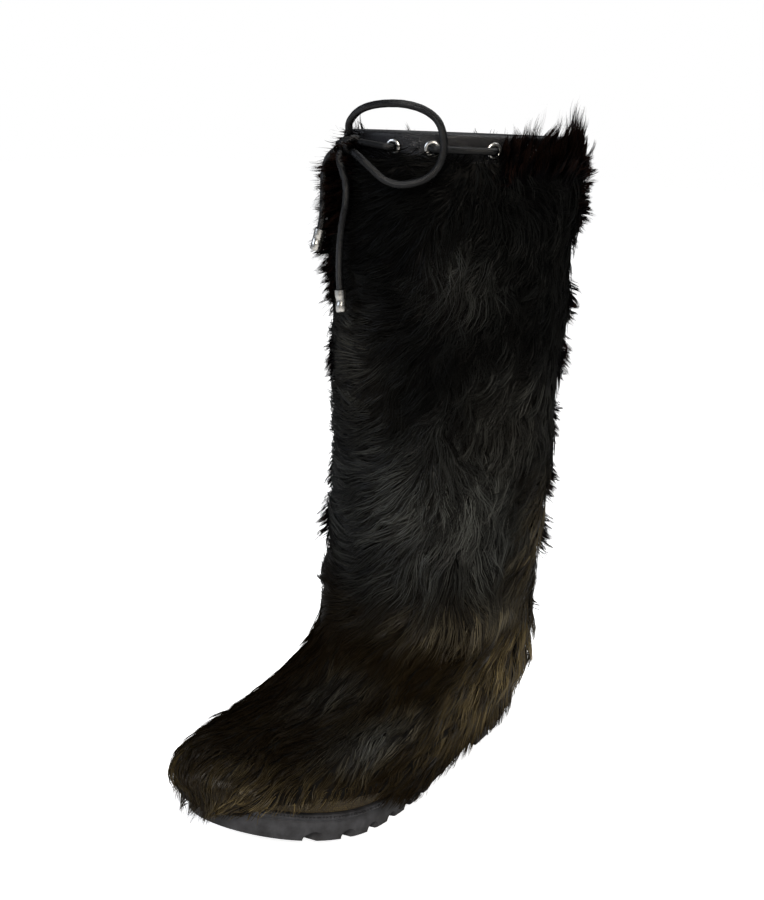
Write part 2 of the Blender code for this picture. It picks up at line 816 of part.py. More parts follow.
def make_bars(finish, parts):
    """The drawstring from the knot through every eyelet and back, inside and outside by turns."""
    level = level_down(EYELET_DROP)
    inside = -(HIDE_WALL + CASING_WALL + 2 * GAP + CORD_BEND)
    outside = CASING_WALL + 2 * GAP + FLANGE_THICK + CORD_BEND
    turns = eyelet_turns()
    lead = [((KNOT_AT[0] + 6.3) / 360, 0.0050), ((KNOT_AT[0] - 6.3) / 360 + 1, 0.0050)]
    first = off_skin(lead[0][0] % 1.0, level_down(lead[0][1]), outside + 0.001)
    last = off_skin(lead[1][0] % 1.0, level_down(lead[1][1]), outside + 0.001)
    path = [first]
    for k, turn in enumerate(turns):
        near, far = off_skin(turn, level, inside), off_skin(turn, level, outside)
        if k % 2 == 0:
            before = path[-1]
            after = off_skin(turns[k + 1], level, inside)
            path += rounded_corner(before, far, near, 3) + rounded_corner(far, near, after, 2)
        else:
            before = off_skin(turns[k - 1], level, inside)
            last_one = k == len(turns) - 1
            middle = last if last_one else off_skin((turn + turns[k + 1]) / 2, level, outside + 0.0008)
            path += rounded_corner(before, near, far, 2) + rounded_corner(near, far, middle, 3)
            path.append(middle)
    return tube("drawstring_bars", path, finish, parts)


def make_aglet(name, start, direction, finish, parts):
    """A metal sleeve over the cord's end, closed at its tip and crimped round its waist."""
    bore = (CORD / 2 + GAP) * FLATS
    outer = bore + AGLET_WALL
    profile = [
        (0.0, AGLET_LENGTH),
        (outer * 0.8, AGLET_LENGTH),
        (outer, 0.95 * AGLET_LENGTH),
        (outer, 0.68 * AGLET_LENGTH),
        (outer * 0.86, 0.60 * AGLET_LENGTH),
        (outer * 0.86, 0.36 * AGLET_LENGTH),
        (outer, 0.28 * AGLET_LENGTH),
        (outer, 0.0),
        (bore, 0.0),
        (bore, AGLET_MOUTH),
        (0.0, AGLET_MOUTH),
    ]
    mesh = bpy.data.meshes.new(name + "_profile")
    mesh.from_pydata([(r, 0.0, z) for r, z in profile], [(i, i + 1) for i in range(len(profile) - 1)], [])
    mesh.materials.append(finish)
    aglet = bpy.data.objects.new(name, mesh)
    parts.objects.link(aglet)
    screw = aglet.modifiers.new("turned", "SCREW")
    screw.steps = screw.render_steps = TUBE_SIDES
    screw.use_merge_vertices = True
    screw.merge_threshold = 0.00001
    aglet.location = start
    aglet.rotation_mode = "QUATERNION"
    aglet.rotation_quaternion = direction.to_track_quat("Z", "Y")


def make_drawstring(cord_finish, metal, parts):
    make_bars(cord_finish, parts)
    make_knot(cord_finish, parts)
    tube("drawstring_loop", smooth_path(placed(LOOP), LOOP_POINTS), cord_finish, parts)
    for name, rows, count in (("front", FRONT_END, 18), ("side", SIDE_END, 14)):
        path = smooth_path(placed(rows), count)
        direction = (path[-1] - path[-2]).normalized()
        tube(f"drawstring_end_{name}", path, cord_finish, parts)
        start = path[-1] - direction * (AGLET_MOUTH - GAP)
        make_aglet(f"aglet_{name}", start, direction, metal, parts)


def clear_scene():
    for item in list(bpy.data.objects):
        bpy.data.objects.remove(item, do_unlink=True)


def make_boot():
    clear_scene()
    parts, tools = collection("mukluk_boot"), collection("cutters")
    rubber = material("moulded_rubber", (0.040, 0.040, 0.043), 0.6)
    leather = material("rand_leather", (0.042, 0.034, 0.024), 0.55)
    hide = material("hide", (0.030, 0.024, 0.018), 0.8)
    shaft_hair = material("shaft_hair", (0.010, 0.010, 0.010), 0.45)
    foot_hair = material("foot_hair", (0.022, 0.014, 0.006), 0.5)
    casing_leather = material("casing_leather", (0.012, 0.012, 0.014), 0.45)
    felt = material("felt", (0.05, 0.05, 0.05), 0.95)
    cord = material("cord", (0.020, 0.021, 0.023), 0.5)
    nickel = material("nickel", (0.62, 0.62, 0.60), 0.25, 1.0)

    make_outsole(rubber, parts, tools)
    make_insole(felt, parts)
    make_rand(leather, parts)
    upper = make_upper(hide, parts)
    casing = make_casing(casing_leather, parts)
    cut_eyelet_holes([upper, casing], tools)
    make_eyelets(nickel, parts)

    make_drawstring(cord, nickel, parts)

    foot_inner = [level for level in HIDE_LEVELS if 0.15 < level < FUR_SEAM_SHARE]
    shaft_inner = [level for level in HIDE_LEVELS if FUR_SEAM_SHARE < level < 1.8]
    edge = level_down(CASING_HEIGHT * 1.12)
    fur_coat(
        "fur_foot",
        hem,
        lambda turn: FUR_SEAM_SHARE - level_up(2 * GAP),
        foot_depth,
        7,
        lambda bottom: over_rand(bottom) + foot_inner,
        foot_hair,
        parts,
    )
    shaft = fur_coat(
        "fur_shaft",
        lambda turn: FUR_SEAM_SHARE,
        ragged_top,
        lambda turn, level: SHAFT_FUR,
        11,
        lambda bottom: shaft_inner + [edge],
        shaft_hair,
        parts,
    )
    add_shaft_tufts(shaft, tools)


make_boot()
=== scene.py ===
# %% [markdown]
# # A tall fur mukluk, dressed
#
# The boot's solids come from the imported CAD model. This script loads them as a fixed frame and
# gives each one its real surface: long goat hair, braided cord, nickel, leather and rubber.
# Every length is in metres, +Z is up, the toe points towards -Y and the outer side towards +X.

# %% Load the frame
import math

import bmesh
import bpy
from mathutils import Matrix, Vector, noise


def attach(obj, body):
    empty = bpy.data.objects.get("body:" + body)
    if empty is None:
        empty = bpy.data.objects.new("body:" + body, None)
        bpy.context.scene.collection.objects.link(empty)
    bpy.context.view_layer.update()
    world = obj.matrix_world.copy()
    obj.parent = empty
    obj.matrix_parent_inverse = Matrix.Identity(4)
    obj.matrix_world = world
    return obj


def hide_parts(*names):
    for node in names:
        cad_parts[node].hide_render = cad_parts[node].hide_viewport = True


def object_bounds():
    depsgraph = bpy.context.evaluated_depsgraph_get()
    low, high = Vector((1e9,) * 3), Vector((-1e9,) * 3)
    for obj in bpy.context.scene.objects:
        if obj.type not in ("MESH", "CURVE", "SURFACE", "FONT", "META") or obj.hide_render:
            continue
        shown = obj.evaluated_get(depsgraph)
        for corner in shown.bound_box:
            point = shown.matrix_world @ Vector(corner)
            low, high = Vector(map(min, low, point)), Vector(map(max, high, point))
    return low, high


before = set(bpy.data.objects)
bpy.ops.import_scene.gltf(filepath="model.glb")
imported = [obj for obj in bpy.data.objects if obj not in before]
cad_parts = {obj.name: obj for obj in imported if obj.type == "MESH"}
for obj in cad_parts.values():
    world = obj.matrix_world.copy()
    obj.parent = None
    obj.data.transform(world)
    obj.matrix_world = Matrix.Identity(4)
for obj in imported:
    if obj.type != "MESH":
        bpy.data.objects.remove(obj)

cad_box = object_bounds()
print("CAD box", [tuple(round(x, 4) for x in corner) for corner in cad_box])

# %% [markdown]
# ## Small helpers
#
# Colours are written as the hex values that a paint chart or a colour picker shows, which are
# sRGB. Blender's shaders work in linear light, so one function turns the first into the second.
# Node trees are easier to read when one helper adds a node, sets its options and makes its links.
# Most finishes end the same way, in a relief and two colours, and most meshes in an object.


# %% Colour and node helpers
def colour(code):
    """A linear colour from an sRGB hex value such as "1a2b3c"."""
    channels = [int(code[i : i + 2], 16) / 255 for i in (0, 2, 4)]
    linear = [c / 12.92 if c <= 0.04045 else ((c + 0.055) / 1.055) ** 2.4 for c in channels]
    return (*linear, 1.0)


def put(tree, kind, inputs=(), **settings):
    """Adds a node. inputs maps a socket's name or number to a value, or to what is linked to it."""
    made = tree.nodes.new(kind)
    for name, value in settings.items():
        setattr(made, name, value)
    for key, value in dict(inputs).items():
        socket = made.inputs[key]
        if isinstance(value, bpy.types.Node):
            tree.links.new(value.outputs[0], socket)
        elif isinstance(value, bpy.types.NodeSocket):
            tree.links.new(value, socket)
        else:
            socket.default_value = value
    return made


def surface(name, **constants):
    """A material with one Principled shader, whose even values are set on its own sockets."""
    made = bpy.data.materials.new(name)
    made.use_nodes = True
    shader = made.node_tree.nodes["Principled BSDF"]
    for key, value in constants.items():
        shader.inputs[key.replace("_", " ").title().replace("Ior", "IOR")].default_value = value
    return made, made.node_tree, shader


def dress(tree, shader, relief, tone, dark, light, start=0.0, end=1.0):
    """Gives a finish its relief, as (height, strength, depth), and its colours along a tone."""
    height, strength, depth = relief
    bump = put(tree, "ShaderNodeBump", {"Strength": strength, "Distance": depth, "Height": height})
    ramp = put(tree, "ShaderNodeValToRGB", {"Fac": tone})
    for stop, position, code in zip(ramp.color_ramp.elements, (start, end), (dark, light)):
        stop.position, stop.color = position, colour(code)
    tree.links.new(bump.outputs[0], shader.inputs["Normal"])
    tree.links.new(ramp.outputs[0], shader.inputs["Base Color"])


# %% Mesh and object helpers
UP = Vector((0, 0, 1))


def add_object(name, data):
    """An object for a mesh, camera or light, in the scene."""
    made = bpy.data.objects.new(name, data)
    bpy.context.scene.collection.objects.link(made)
    return made


def mesh_of(form, name, *finishes):
    """Turns a bmesh into a mesh with its finishes, and frees the bmesh."""
    mesh = bpy.data.meshes.new(name)
    form.to_mesh(mesh)
    form.free()
    for finish in finishes:
        mesh.materials.append(finish)
    return mesh


# %% [markdown]
# ## The boot's own measures
#
# The hair, leather and rubber follow the same curved form as the CAD solids. So the sizes and the
# functions that place a point on that form are repeated here, and each new piece asks them for
# finer points than the solid has. A point is named by its turn round the boot, from 0 at the front
# by the outer side to 0.5 at the back, and its level, 0 at the sole, 1 at the instep, 2 at the collar.

# %% Sizes shared with the CAD source
SOLE_LENGTH = 0.285
BALL_WIDTH = 0.112
HEEL_BACK = 0.042
HEEL_THICK = 0.026
BALL_THICK = 0.018
TOE_SPRING = 0.014
TOE_SWING = 0.008
BALL_SHARE = 0.30
LUG_DEPTH = 0.006
LUG_TAPER = 0.002
NOTCH_RADIUS = 0.0042
NOTCH_PITCH = 0.0185
NOTCH_SLANT = math.radians(14)
CHANNEL_WIDTH = 0.005
CHANNEL_OUT = 0.0175
ARCH_FRONT = 0.106
ARCH_BACK = 0.032
ARCH_RISE = 0.0075
WELT_HEIGHT = 0.0032
WELT_PROUD = 0.0012
BOOT_HEIGHT = 0.406
INSTEP_HEIGHT = 0.125
HIDE_WALL = 0.0024
RAND_WALL = 0.0032
RAND_HEIGHT = 0.0135
SHAFT_FRONT = 0.095
SHAFT_BACK = 0.039
ANKLE_HALF = 0.055
COLLAR_FRONT = 0.097
COLLAR_BACK = 0.045
COLLAR_HALF = 0.068
HEEL_BULGE = 0.0085
SHAFT_OUT = 0.0045
COLLAR_TILT = 0.003
GAP = 0.0003
SHAFT_FUR = 0.0125
FOOT_FUR = 0.0065
TOE_FUR = 0.010
HEEL_FUR = 0.0105
FUR_SEAM_SHARE = 0.92
FUR_TOP_DROP = 0.0145
CASING_WALL = 0.0016
CASING_HEIGHT = 0.024
EYELET_COUNT = 14
FIRST_EYELET = math.radians(2.3)
EYELET_DROP = 0.0072
EYELET_BORE = 0.0028
EYELET_TUBE = 0.0005
EYELET_FLANGE = 0.0049
FLANGE_THICK = 0.0009
TIE_GAP = math.radians(44.4)
INSIDE_SPAN = math.radians(19.8)
CORD = 0.0045
CORD_BEND = 0.0035
KNOT_TURNS = 1.75
KNOT_AT = (-20.8, 0.0072)
KNOT_RADIUS = 0.0044
KNOT_STEPS = 21
WRAP_PITCH = 1.12
KNOT_ENTRY = (6.3, 0.0050)
AGLET_LENGTH = 0.0135
AGLET_WALL = 0.0006
AGLET_MOUTH = 0.004

# Half widths of the sole along its length from the toe, as shares of the ball width
OUTLINE = (
    # along, outer, inner
    (0.00, 0.480, 0.490),
    (0.33, 0.515, 0.485),
    (0.48, 0.480, 0.410),
    (0.64, 0.425, 0.350),
    (0.85, 0.345, 0.345),
    (1.00, 0.335, 0.335),
)
TOE_ROUND_SHARE = 0.28
HEEL_ROUND_SHARE = 0.19

# Sections of the upper: reach of the toe, bulge of the heel, girth, flare of the shaft, and how far
# the foot's outline has turned into an ellipse
SECTIONS = (
    # level, reach, heel, girth, flare, turned
    (0.00, 1.000, 0.0, 1.00, 0.00, 0.00),
    (0.10, 1.012, 0.6, 1.03, 0.00, 0.00),
    (0.19, 0.965, 0.9, 1.02, 0.00, 0.02),
    (0.25, 0.840, 1.0, 1.00, 0.00, 0.05),
    (0.30, 0.675, 1.0, 0.98, 0.00, 0.09),
    (0.35, 0.525, 1.0, 0.95, 0.00, 0.15),
    (0.41, 0.370, 0.9, 0.93, 0.00, 0.24),
    (0.49, 0.240, 0.7, 0.93, 0.00, 0.38),
    (0.58, 0.152, 0.5, 0.94, 0.00, 0.54),
    (0.70, 0.078, 0.3, 0.96, 0.00, 0.74),
    (0.84, 0.050, 0.2, 0.98, 0.00, 0.91),
    (1.00, 0.025, 0.1, 1.00, 0.00, 1.00),
    (1.15, 0.010, 0.3, 1.00, 0.06, 1.00),
    (1.40, 0.000, 0.5, 1.00, 0.28, 1.00),
    (1.70, 0.000, 0.3, 1.00, 0.62, 1.00),
    (2.00, 0.000, 0.0, 1.00, 1.00, 1.00),
)
REACH, HEEL, GIRTH, FLARE, TURNED = range(1, 6)
OUTER, INNER = 1, 2

# Lower edge of the foot's hair above the sole's top edge, as shares of the rand's height
HEM = (
    # along the foot from the toe, height
    (0.00, -0.67),
    (0.016, -0.45),
    (0.05, 0.44),
    (0.12, 0.74),
    (0.25, 0.67),
    (0.36, -0.67),
    (0.50, -0.90),
    (1.00, -0.96),
)


# %% Functions that place a point on the boot
def blended(table, column, at):
    """A column of a table at a value of its first column, on a smooth curve through the rows."""
    if at <= table[0][0]:
        return table[0][column]
    if at >= table[-1][0]:
        return table[-1][column]
    k = max(i for i, row in enumerate(table) if row[0] <= at)

    def slope(i):
        low, high = max(i - 1, 0), min(i + 1, len(table) - 1)
        return (table[high][column] - table[low][column]) / (table[high][0] - table[low][0])

    span = table[k + 1][0] - table[k][0]
    t = (at - table[k][0]) / span
    return (
        (2 * t**3 - 3 * t**2 + 1) * table[k][column]
        + (t**3 - 2 * t**2 + t) * span * slope(k)
        + (3 * t**2 - 2 * t**3) * table[k + 1][column]
        + (t**3 - t**2) * span * slope(k + 1)
    )


def mix(a, b, share):
    return a + (b - a) * share


def ease(t):
    t = min(max(t, 0.0), 1.0)
    return t * t * (3 - 2 * t)


def from_toe(y):
    return (y + SOLE_LENGTH - HEEL_BACK) / SOLE_LENGTH


def spring(y):
    """How far the toe lifts off the floor."""
    return TOE_SPRING * max(0.0, (BALL_SHARE - from_toe(y)) / BALL_SHARE) ** 2


def bed(y):
    """Height of the outsole's top."""
    climb = ease((from_toe(y) - BALL_SHARE) / (0.75 - BALL_SHARE))
    return mix(BALL_THICK, HEEL_THICK, climb) + spring(y)


def rounding(along):
    toe = max(0.0, 1 - along / TOE_ROUND_SHARE) ** 2.4
    heel = max(0.0, 1 - (1 - along) / HEEL_ROUND_SHARE) ** 2.3
    return math.sqrt(max(0.0, 1 - toe)) * math.sqrt(max(0.0, 1 - heel))


def foot_outline(along, side):
    column = OUTER if side > 0 else INNER
    return 2 * blended(OUTLINE, column, along) * rounding(along)


def plan_point(turn, front, back, half, turned):
    along = (1 - math.cos(2 * math.pi * turn)) / 2
    side = math.copysign(1.0, math.sin(2 * math.pi * turn))
    oval = abs(math.sin(2 * math.pi * turn))
    swing = TOE_SWING * max(0.0, 1 - along / BALL_SHARE) ** 2 * (1 - turned)
    x = side * half * mix(foot_outline(along, side), oval, turned) - swing
    return x, mix(front, back, along)


def sole_point(turn, grow):
    front, back = HEEL_BACK - SOLE_LENGTH - grow, HEEL_BACK + grow
    return plan_point(turn, front, back, BALL_WIDTH / 2 + grow, 0.0)


def skin(turn, level):
    """A point of the hide's outer face."""
    inset = RAND_WALL + GAP
    toe = SOLE_LENGTH - HEEL_BACK - inset
    flare = blended(SECTIONS, FLARE, level)
    low = min(level, 1.0)
    front = mix(mix(SHAFT_FRONT, COLLAR_FRONT, flare), toe, blended(SECTIONS, REACH, level))
    back = mix(mix(HEEL_BACK - inset, SHAFT_BACK, ease(low)), COLLAR_BACK, flare)
    back += HEEL_BULGE * blended(SECTIONS, HEEL, level)
    half = mix(mix(BALL_WIDTH / 2 - inset, ANKLE_HALF, ease(low)), COLLAR_HALF, flare)
    half *= blended(SECTIONS, GIRTH, level)
    x, y = plan_point(turn, -front, back, half, blended(SECTIONS, TURNED, level))
    x += SHAFT_OUT * ease((level - 0.85) / 0.7)
    if level <= 1:
        z = mix(bed(y) + GAP, INSTEP_HEIGHT, level)
    else:
        z = mix(INSTEP_HEIGHT, BOOT_HEIGHT - COLLAR_TILT * (y + front) / (front + back), level - 1)
    return Vector((x, y, z))


def outward(turn, level):
    """Unit normal of the hide's outer face, turned level next to the sole."""
    step = 0.004
    round_it = skin(turn + step, level) - skin(turn - step, level)
    up = skin(turn, max(level, 0.0) + step) - skin(turn, max(level - step, 0.0))
    normal = round_it.cross(up).normalized()
    normal.z *= ease((level - 0.05) / 0.25)
    return normal.normalized()


def off_skin(turn, level, out):
    base = skin(turn, level)
    point = base + outward(turn, level) * out
    point.z += (bed(point.y) - bed(base.y)) * (1 - ease(level / 0.2))
    return point


def level_up(height):
    return height / (INSTEP_HEIGHT - BALL_THICK)


def level_down(drop):
    return 2 - drop / (BOOT_HEIGHT - INSTEP_HEIGHT)


def placed(rows):
    """Table rows of turn in degrees, drop and out as points."""
    return [off_skin((degrees / 360) % 1.0, level_down(drop), out) for degrees, drop, out in rows]


# %% [markdown]
# ## The camera
#
# The photograph was taken standing, a little above the boot and towards its outer front. Its place
# was worked out once, by matching known points of the boot to where they lie in the picture, and
# is written down here as a place, the way it looks, and a lens. Then the camera turns where it
# stands until the boot is in the middle of the picture. Its place stays the same, so the boot is
# seen from the same side as before.

# %% Make the camera
CAMERA_AT = Vector((0.513681, -0.813033, 0.430521))
CAMERA_RIGHT = Vector((0.75178043, 0.65941057, 0.00196934))
CAMERA_DOWN = Vector((0.15232643, -0.17075696, -0.97346737))
FOCAL_PIXELS = 1448.55
PHOTO_HEIGHT = 900
SENSOR = 36.0

camera_data = bpy.data.cameras.new("camera")
camera_data.sensor_width = SENSOR
camera_data.lens = FOCAL_PIXELS / PHOTO_HEIGHT * SENSOR
camera_data.clip_start, camera_data.clip_end = 0.05, 20
camera = add_object("camera", camera_data)
back_way = CAMERA_RIGHT.cross(-CAMERA_DOWN).normalized()
axes = Matrix((CAMERA_RIGHT, -CAMERA_DOWN, back_way)).transposed().to_4x4()
boot_middle = (Vector(cad_box[0]) + Vector(cad_box[1])) / 2
turn_in = (-back_way).rotation_difference(boot_middle - CAMERA_AT)
camera.matrix_world = Matrix.Translation(CAMERA_AT) @ turn_in.to_matrix().to_4x4() @ axes
bpy.context.scene.camera = camera
print("lens", round(camera_data.lens, 2), "mm, turned", round(math.degrees(turn_in.angle), 1))

# %% [markdown]
# ## Braided cord
#
# The drawstring is a 4.5 mm waxed cotton braid. A curve with a round bevel would do, but a braid
# has two families of strands that wind left and right over each other. So each cord here is swept
# as a mesh: rings are carried along the path without twisting, and every ring's radius rises where
# a strand crosses over. A UV map gives the distance along the cord and the share round it, so that
# the material can draw the finer yarns along the strands.

# %% Sweep a braided cord along a path
BRAID_STRANDS = 4
BRAID_PITCH = 0.0085
BRAID_RELIEF = 0.00014
CORD_SIDES = 20
CORD_STEP = 0.0009
STEPS_PER_SPAN = 12


def smooth_path(points, count):
    """Points at even steps on a smooth curve through the given ones."""
    fine = []
    for i in range(len(points) - 1):
        p0, p1, p2, p3 = (points[min(max(i + k, 0), len(points) - 1)] for k in (-1, 0, 1, 2))
        for step in range(STEPS_PER_SPAN):
            t = step / STEPS_PER_SPAN
            fine.append(
                p1
                + (p2 - p0) * (t / 2)
                + (p0 * 2 - p1 * 5 + p2 * 4 - p3) * (t * t / 2)
                + (p1 * 3 - p0 - p2 * 3 + p3) * (t**3 / 2)
            )
    fine.append(points[-1])
    reach = [0.0]
    for a, b in zip(fine, fine[1:]):
        reach.append(reach[-1] + (b - a).length)
    even, k = [], 0
    for step in range(count):
        want = reach[-1] * step / (count - 1)
        while k < len(fine) - 2 and reach[k + 1] < want:
            k += 1
        share = (want - reach[k]) / (reach[k + 1] - reach[k])
        even.append(fine[k].lerp(fine[k + 1], min(max(share, 0.0), 1.0)))
    return even


def path_length(points):
    return sum((b - a).length for a, b in zip(points, points[1:]))


def braided_tube(name, points, finish):
    """A closed tube along points with crossing strands raised on it."""
    path = smooth_path(points, max(12, round(path_length(points) / CORD_STEP)))
    last = len(path) - 1
    step = path_length(path) / last
    ways = [(path[min(i + 1, last)] - path[max(i - 1, 0)]).normalized() for i in range(last + 1)]
    side = ways[0].orthogonal().normalized()
    form = bmesh.new()
    uv = form.loops.layers.uv.new("UVMap")
    rings = []
    for i, (place, way) in enumerate(zip(path, ways)):
        if i:
            side = ways[i - 1].rotation_difference(way) @ side
        side = (side - way * side.dot(way)).normalized()
        other = way.cross(side)
        ring = []
        for k in range(CORD_SIDES):
            angle = 2 * math.pi * k / CORD_SIDES
            wind = 2 * math.pi * i * step / BRAID_PITCH
            right = abs(math.sin(BRAID_STRANDS / 2 * (angle + wind)))
            left = abs(math.sin(BRAID_STRANDS / 2 * (angle - wind)))
            radius = CORD / 2 + BRAID_RELIEF * (max(left, right) - 0.8) * 2
            out = side * math.cos(angle) + other * math.sin(angle)
            ring.append(form.verts.new(place + out * radius))
        rings.append(ring)
    for i, (a, b) in enumerate(zip(rings, rings[1:])):
        for k in range(CORD_SIDES):
            n = (k + 1) % CORD_SIDES
            face = form.faces.new((a[k], a[n], b[n], b[k]))
            face.smooth = True
            corners = ((i, k), (i, k + 1), (i + 1, k + 1), (i + 1, k))
            for loop, (row, column) in zip(face.loops, corners):
                loop[uv].uv = (row * step, column / CORD_SIDES)
    form.faces.new(list(reversed(rings[0])))
    form.faces.new(rings[-1])
    return add_object(name, mesh_of(form, name, finish)), path


# %% [markdown]
# ### The cord's finish
#
# Black cotton braid with a rub of wax: it is not quite black, and semi-matt. It is a little grey on
# the yarns' crests and in flecks: partly the yarns' own grey, partly a painted highlight where they
# catch light. Wave textures on the UV map draw the yarns, slanted both ways.

# %% Waxed cotton braid
YARN = 0.00042
YARNS_PER_STRAND = 6

waxed_braid, tree, shader = surface(
    "waxed_cotton_braid", ior=1.5, roughness=0.20, specular_ior_level=0.22
)
uv = put(tree, "ShaderNodeUVMap", uv_map="UVMap")
along_and_round = put(tree, "ShaderNodeSeparateXYZ", {0: uv})
winds = []
for column, count in ((1, BRAID_STRANDS / 2), (0, BRAID_STRANDS / 2 / BRAID_PITCH)):
    wound = {0: along_and_round.outputs[column], 1: count}
    winds.append(put(tree, "ShaderNodeMath", wound, operation="MULTIPLY"))
waves = []
for joining in ("ADD", "SUBTRACT"):
    phase = put(tree, "ShaderNodeMath", {0: winds[0], 1: winds[1]}, operation=joining)
    yarn_turn = {0: phase, 1: 2 * math.pi * YARNS_PER_STRAND}
    angle = put(tree, "ShaderNodeMath", yarn_turn, operation="MULTIPLY")
    waves.append(put(tree, "ShaderNodeMath", {0: angle}, operation="SINE"))
yarns = put(tree, "ShaderNodeMath", {0: waves[0], 1: waves[1]}, operation="MAXIMUM")
fuzz = put(tree, "ShaderNodeTexNoise", {"Vector": uv, "Scale": 1 / YARN, "Detail": 3.0})
height = put(tree, "ShaderNodeMath", {0: yarns, 1: fuzz}, operation="ADD")
# The tone is lighter on the yarns' crests and in flecks: partly own grey, partly painted highlight
tone = put(tree, "ShaderNodeMath", {0: yarns, 1: fuzz}, operation="MULTIPLY")
dress(tree, shader, (height, 0.4, 0.00022), tone, "030303", "17181a")

# %% [markdown]
# ## The drawstring
#
# The cord runs from the knot through the fourteen eyelets, inside and outside by turns, and comes
# back to the knot. Its spare length stands over the collar as one loop and hangs down as two ends,
# each in a metal sleeve. The points are those of the CAD solids, so that each cord lies where its
# solid is.

# %% Routes of the free cords
LOOP = (
    # turn in degrees, drop below the collar's edge, out from the hide
    (-20.8, 0.0000, 0.0098),
    (-19.5, -0.0060, 0.0110),
    (-13.5, -0.0120, 0.0120),
    (-6.0, -0.0158, 0.0130),
    (3.0, -0.0178, 0.0135),
    (12.5, -0.0178, 0.0140),
    (20.5, -0.0150, 0.0145),
    (26.0, -0.0095, 0.0150),
    (28.5, -0.0015, 0.0160),
    (29.0, 0.0075, 0.0175),
    (27.0, 0.0170, 0.0190),
    (22.0, 0.0240, 0.0195),
    (13.5, 0.0275, 0.0195),
    (6.5, 0.0255, 0.0195),
    (0.5, 0.0200, 0.0190),
    (-5.5, 0.0145, 0.0180),
    (-11.0, 0.0115, 0.0155),
    (-15.4, 0.0110, 0.0125),
)
FRONT_END = (
    # turn in degrees, drop, out
    (-20.0, 0.0110, 0.0165),
    (-18.5, 0.0150, 0.0190),
    (-16.0, 0.0210, 0.0195),
    (-14.0, 0.0300, 0.0190),
    (-14.0, 0.0400, 0.0190),
    (-16.5, 0.0540, 0.0190),
    (-18.0, 0.0680, 0.0190),
    (-18.4, 0.0825, 0.0190),
    (-17.4, 0.0970, 0.0190),
)
SIDE_END = (
    # turn in degrees, drop, out
    (-23.4, 0.0098, 0.0168),
    (-27.5, 0.0150, 0.0192),
    (-30.0, 0.0235, 0.0202),
    (-30.5, 0.0325, 0.0205),
    (-30.3, 0.0410, 0.0210),
    (-30.1, 0.0490, 0.0216),
    (-30.2, 0.0555, 0.0226),
    (-30.5, 0.0613, 0.0240),
)


def turn_of(angle):
    """The turn at which the collar's oval lies at an angle from the front."""
    across, deep = COLLAR_HALF, (COLLAR_FRONT + COLLAR_BACK) / 2
    return (math.atan2(math.sin(angle) / across, math.cos(angle) / deep) / (2 * math.pi)) % 1.0


def eyelet_turns():
    inside_spans = EYELET_COUNT // 2
    outside = (2 * math.pi - TIE_GAP - inside_spans * INSIDE_SPAN) / (inside_spans - 1)
    angles = [FIRST_EYELET]
    for k in range(EYELET_COUNT - 1):
        angles.append(angles[-1] + (INSIDE_SPAN if k % 2 == 0 else outside))
    return [turn_of(angle) for angle in angles]


def rounded_corner(before, corner, after, steps):
    """A corner cut back by the cord's bend and rounded."""
    start = corner + (before - corner).normalized() * CORD_BEND
    end = corner + (after - corner).normalized() * CORD_BEND
    if steps == 2:
        return [start, end]
    return [start, (start + end + corner) / 3, end]


def knot_path():
    """Close wraps of the cord round an axis along the collar."""
    turn, level = (KNOT_AT[0] / 360) % 1.0, level_down(KNOT_AT[1])
    out = outward(turn, level)
    along = Vector((-out.y, out.x, 0)).normalized()
    if along.dot(skin(turn + 0.01, level) - skin(turn, level)) < 0:
        along = -along
    centre = off_skin(turn, level, 2 * GAP + CASING_WALL + KNOT_RADIUS + CORD / 2)
    path = []
    for k in range(KNOT_STEPS + 1):
        share = k / KNOT_STEPS - 0.5
        angle = 2 * math.pi * KNOT_TURNS * share + math.pi
        ring = out * math.cos(angle) + UP * math.sin(angle)
        path.append(centre + along * share * KNOT_TURNS * CORD * WRAP_PITCH + ring * KNOT_RADIUS)
    return path


def bars_path():
    """The drawstring from the knot through every eyelet and back."""
    level = level_down(EYELET_DROP)
    inside = -(HIDE_WALL + CASING_WALL + 2 * GAP + CORD_BEND)
    outside = CASING_WALL + 2 * GAP + FLANGE_THICK + CORD_BEND
    turns = eyelet_turns()
    aside, entry_drop = KNOT_ENTRY
    first, last = (
        off_skin(((KNOT_AT[0] + off) / 360) % 1.0, level_down(entry_drop), outside + 0.001)
        for off in (aside, -aside)
    )
    path = [first]
    for k, turn in enumerate(turns):
        near, far = off_skin(turn, level, inside), off_skin(turn, level, outside)
        if k % 2 == 0:
            after = off_skin(turns[k + 1], level, inside)
            path += rounded_corner(path[-1], far, near, 3) + rounded_corner(far, near, after, 2)
        else:
            before = off_skin(turns[k - 1], level, inside)
            last_one = k == len(turns) - 1
            middle = last
            if not last_one:
                middle = off_skin((turn + turns[k + 1]) / 2, level, outside + 0.0008)
            path += rounded_corner(before, near, far, 2) + rounded_corner(near, far, middle, 3)
            path.append(middle)
    return path


# %% Make the cords
course, course_path = braided_tube("drawstring_course", bars_path(), waxed_braid)
knot, wound_path = braided_tube("cord_knot", knot_path(), waxed_braid)
loop, loop_path = braided_tube("cord_loop", placed(LOOP), waxed_braid)
front_end, front_path = braided_tube("cord_end_front", placed(FRONT_END), waxed_braid)
side_end, side_path = braided_tube("cord_end_side", placed(SIDE_END), waxed_braid)
for piece, node in (
    (course, "drawstring_bars"),
    (knot, "drawstring_knot"),
    (loop, "drawstring_loop"),
    (front_end, "drawstring_end_front"),
    (side_end, "drawstring_end_side"),
):
    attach(piece, "root")
    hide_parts(node)
    print(piece.name, len(piece.data.polygons), "faces")
print("course length", round(path_length(course_path), 3), "knot", round(path_length(wound_path), 3))

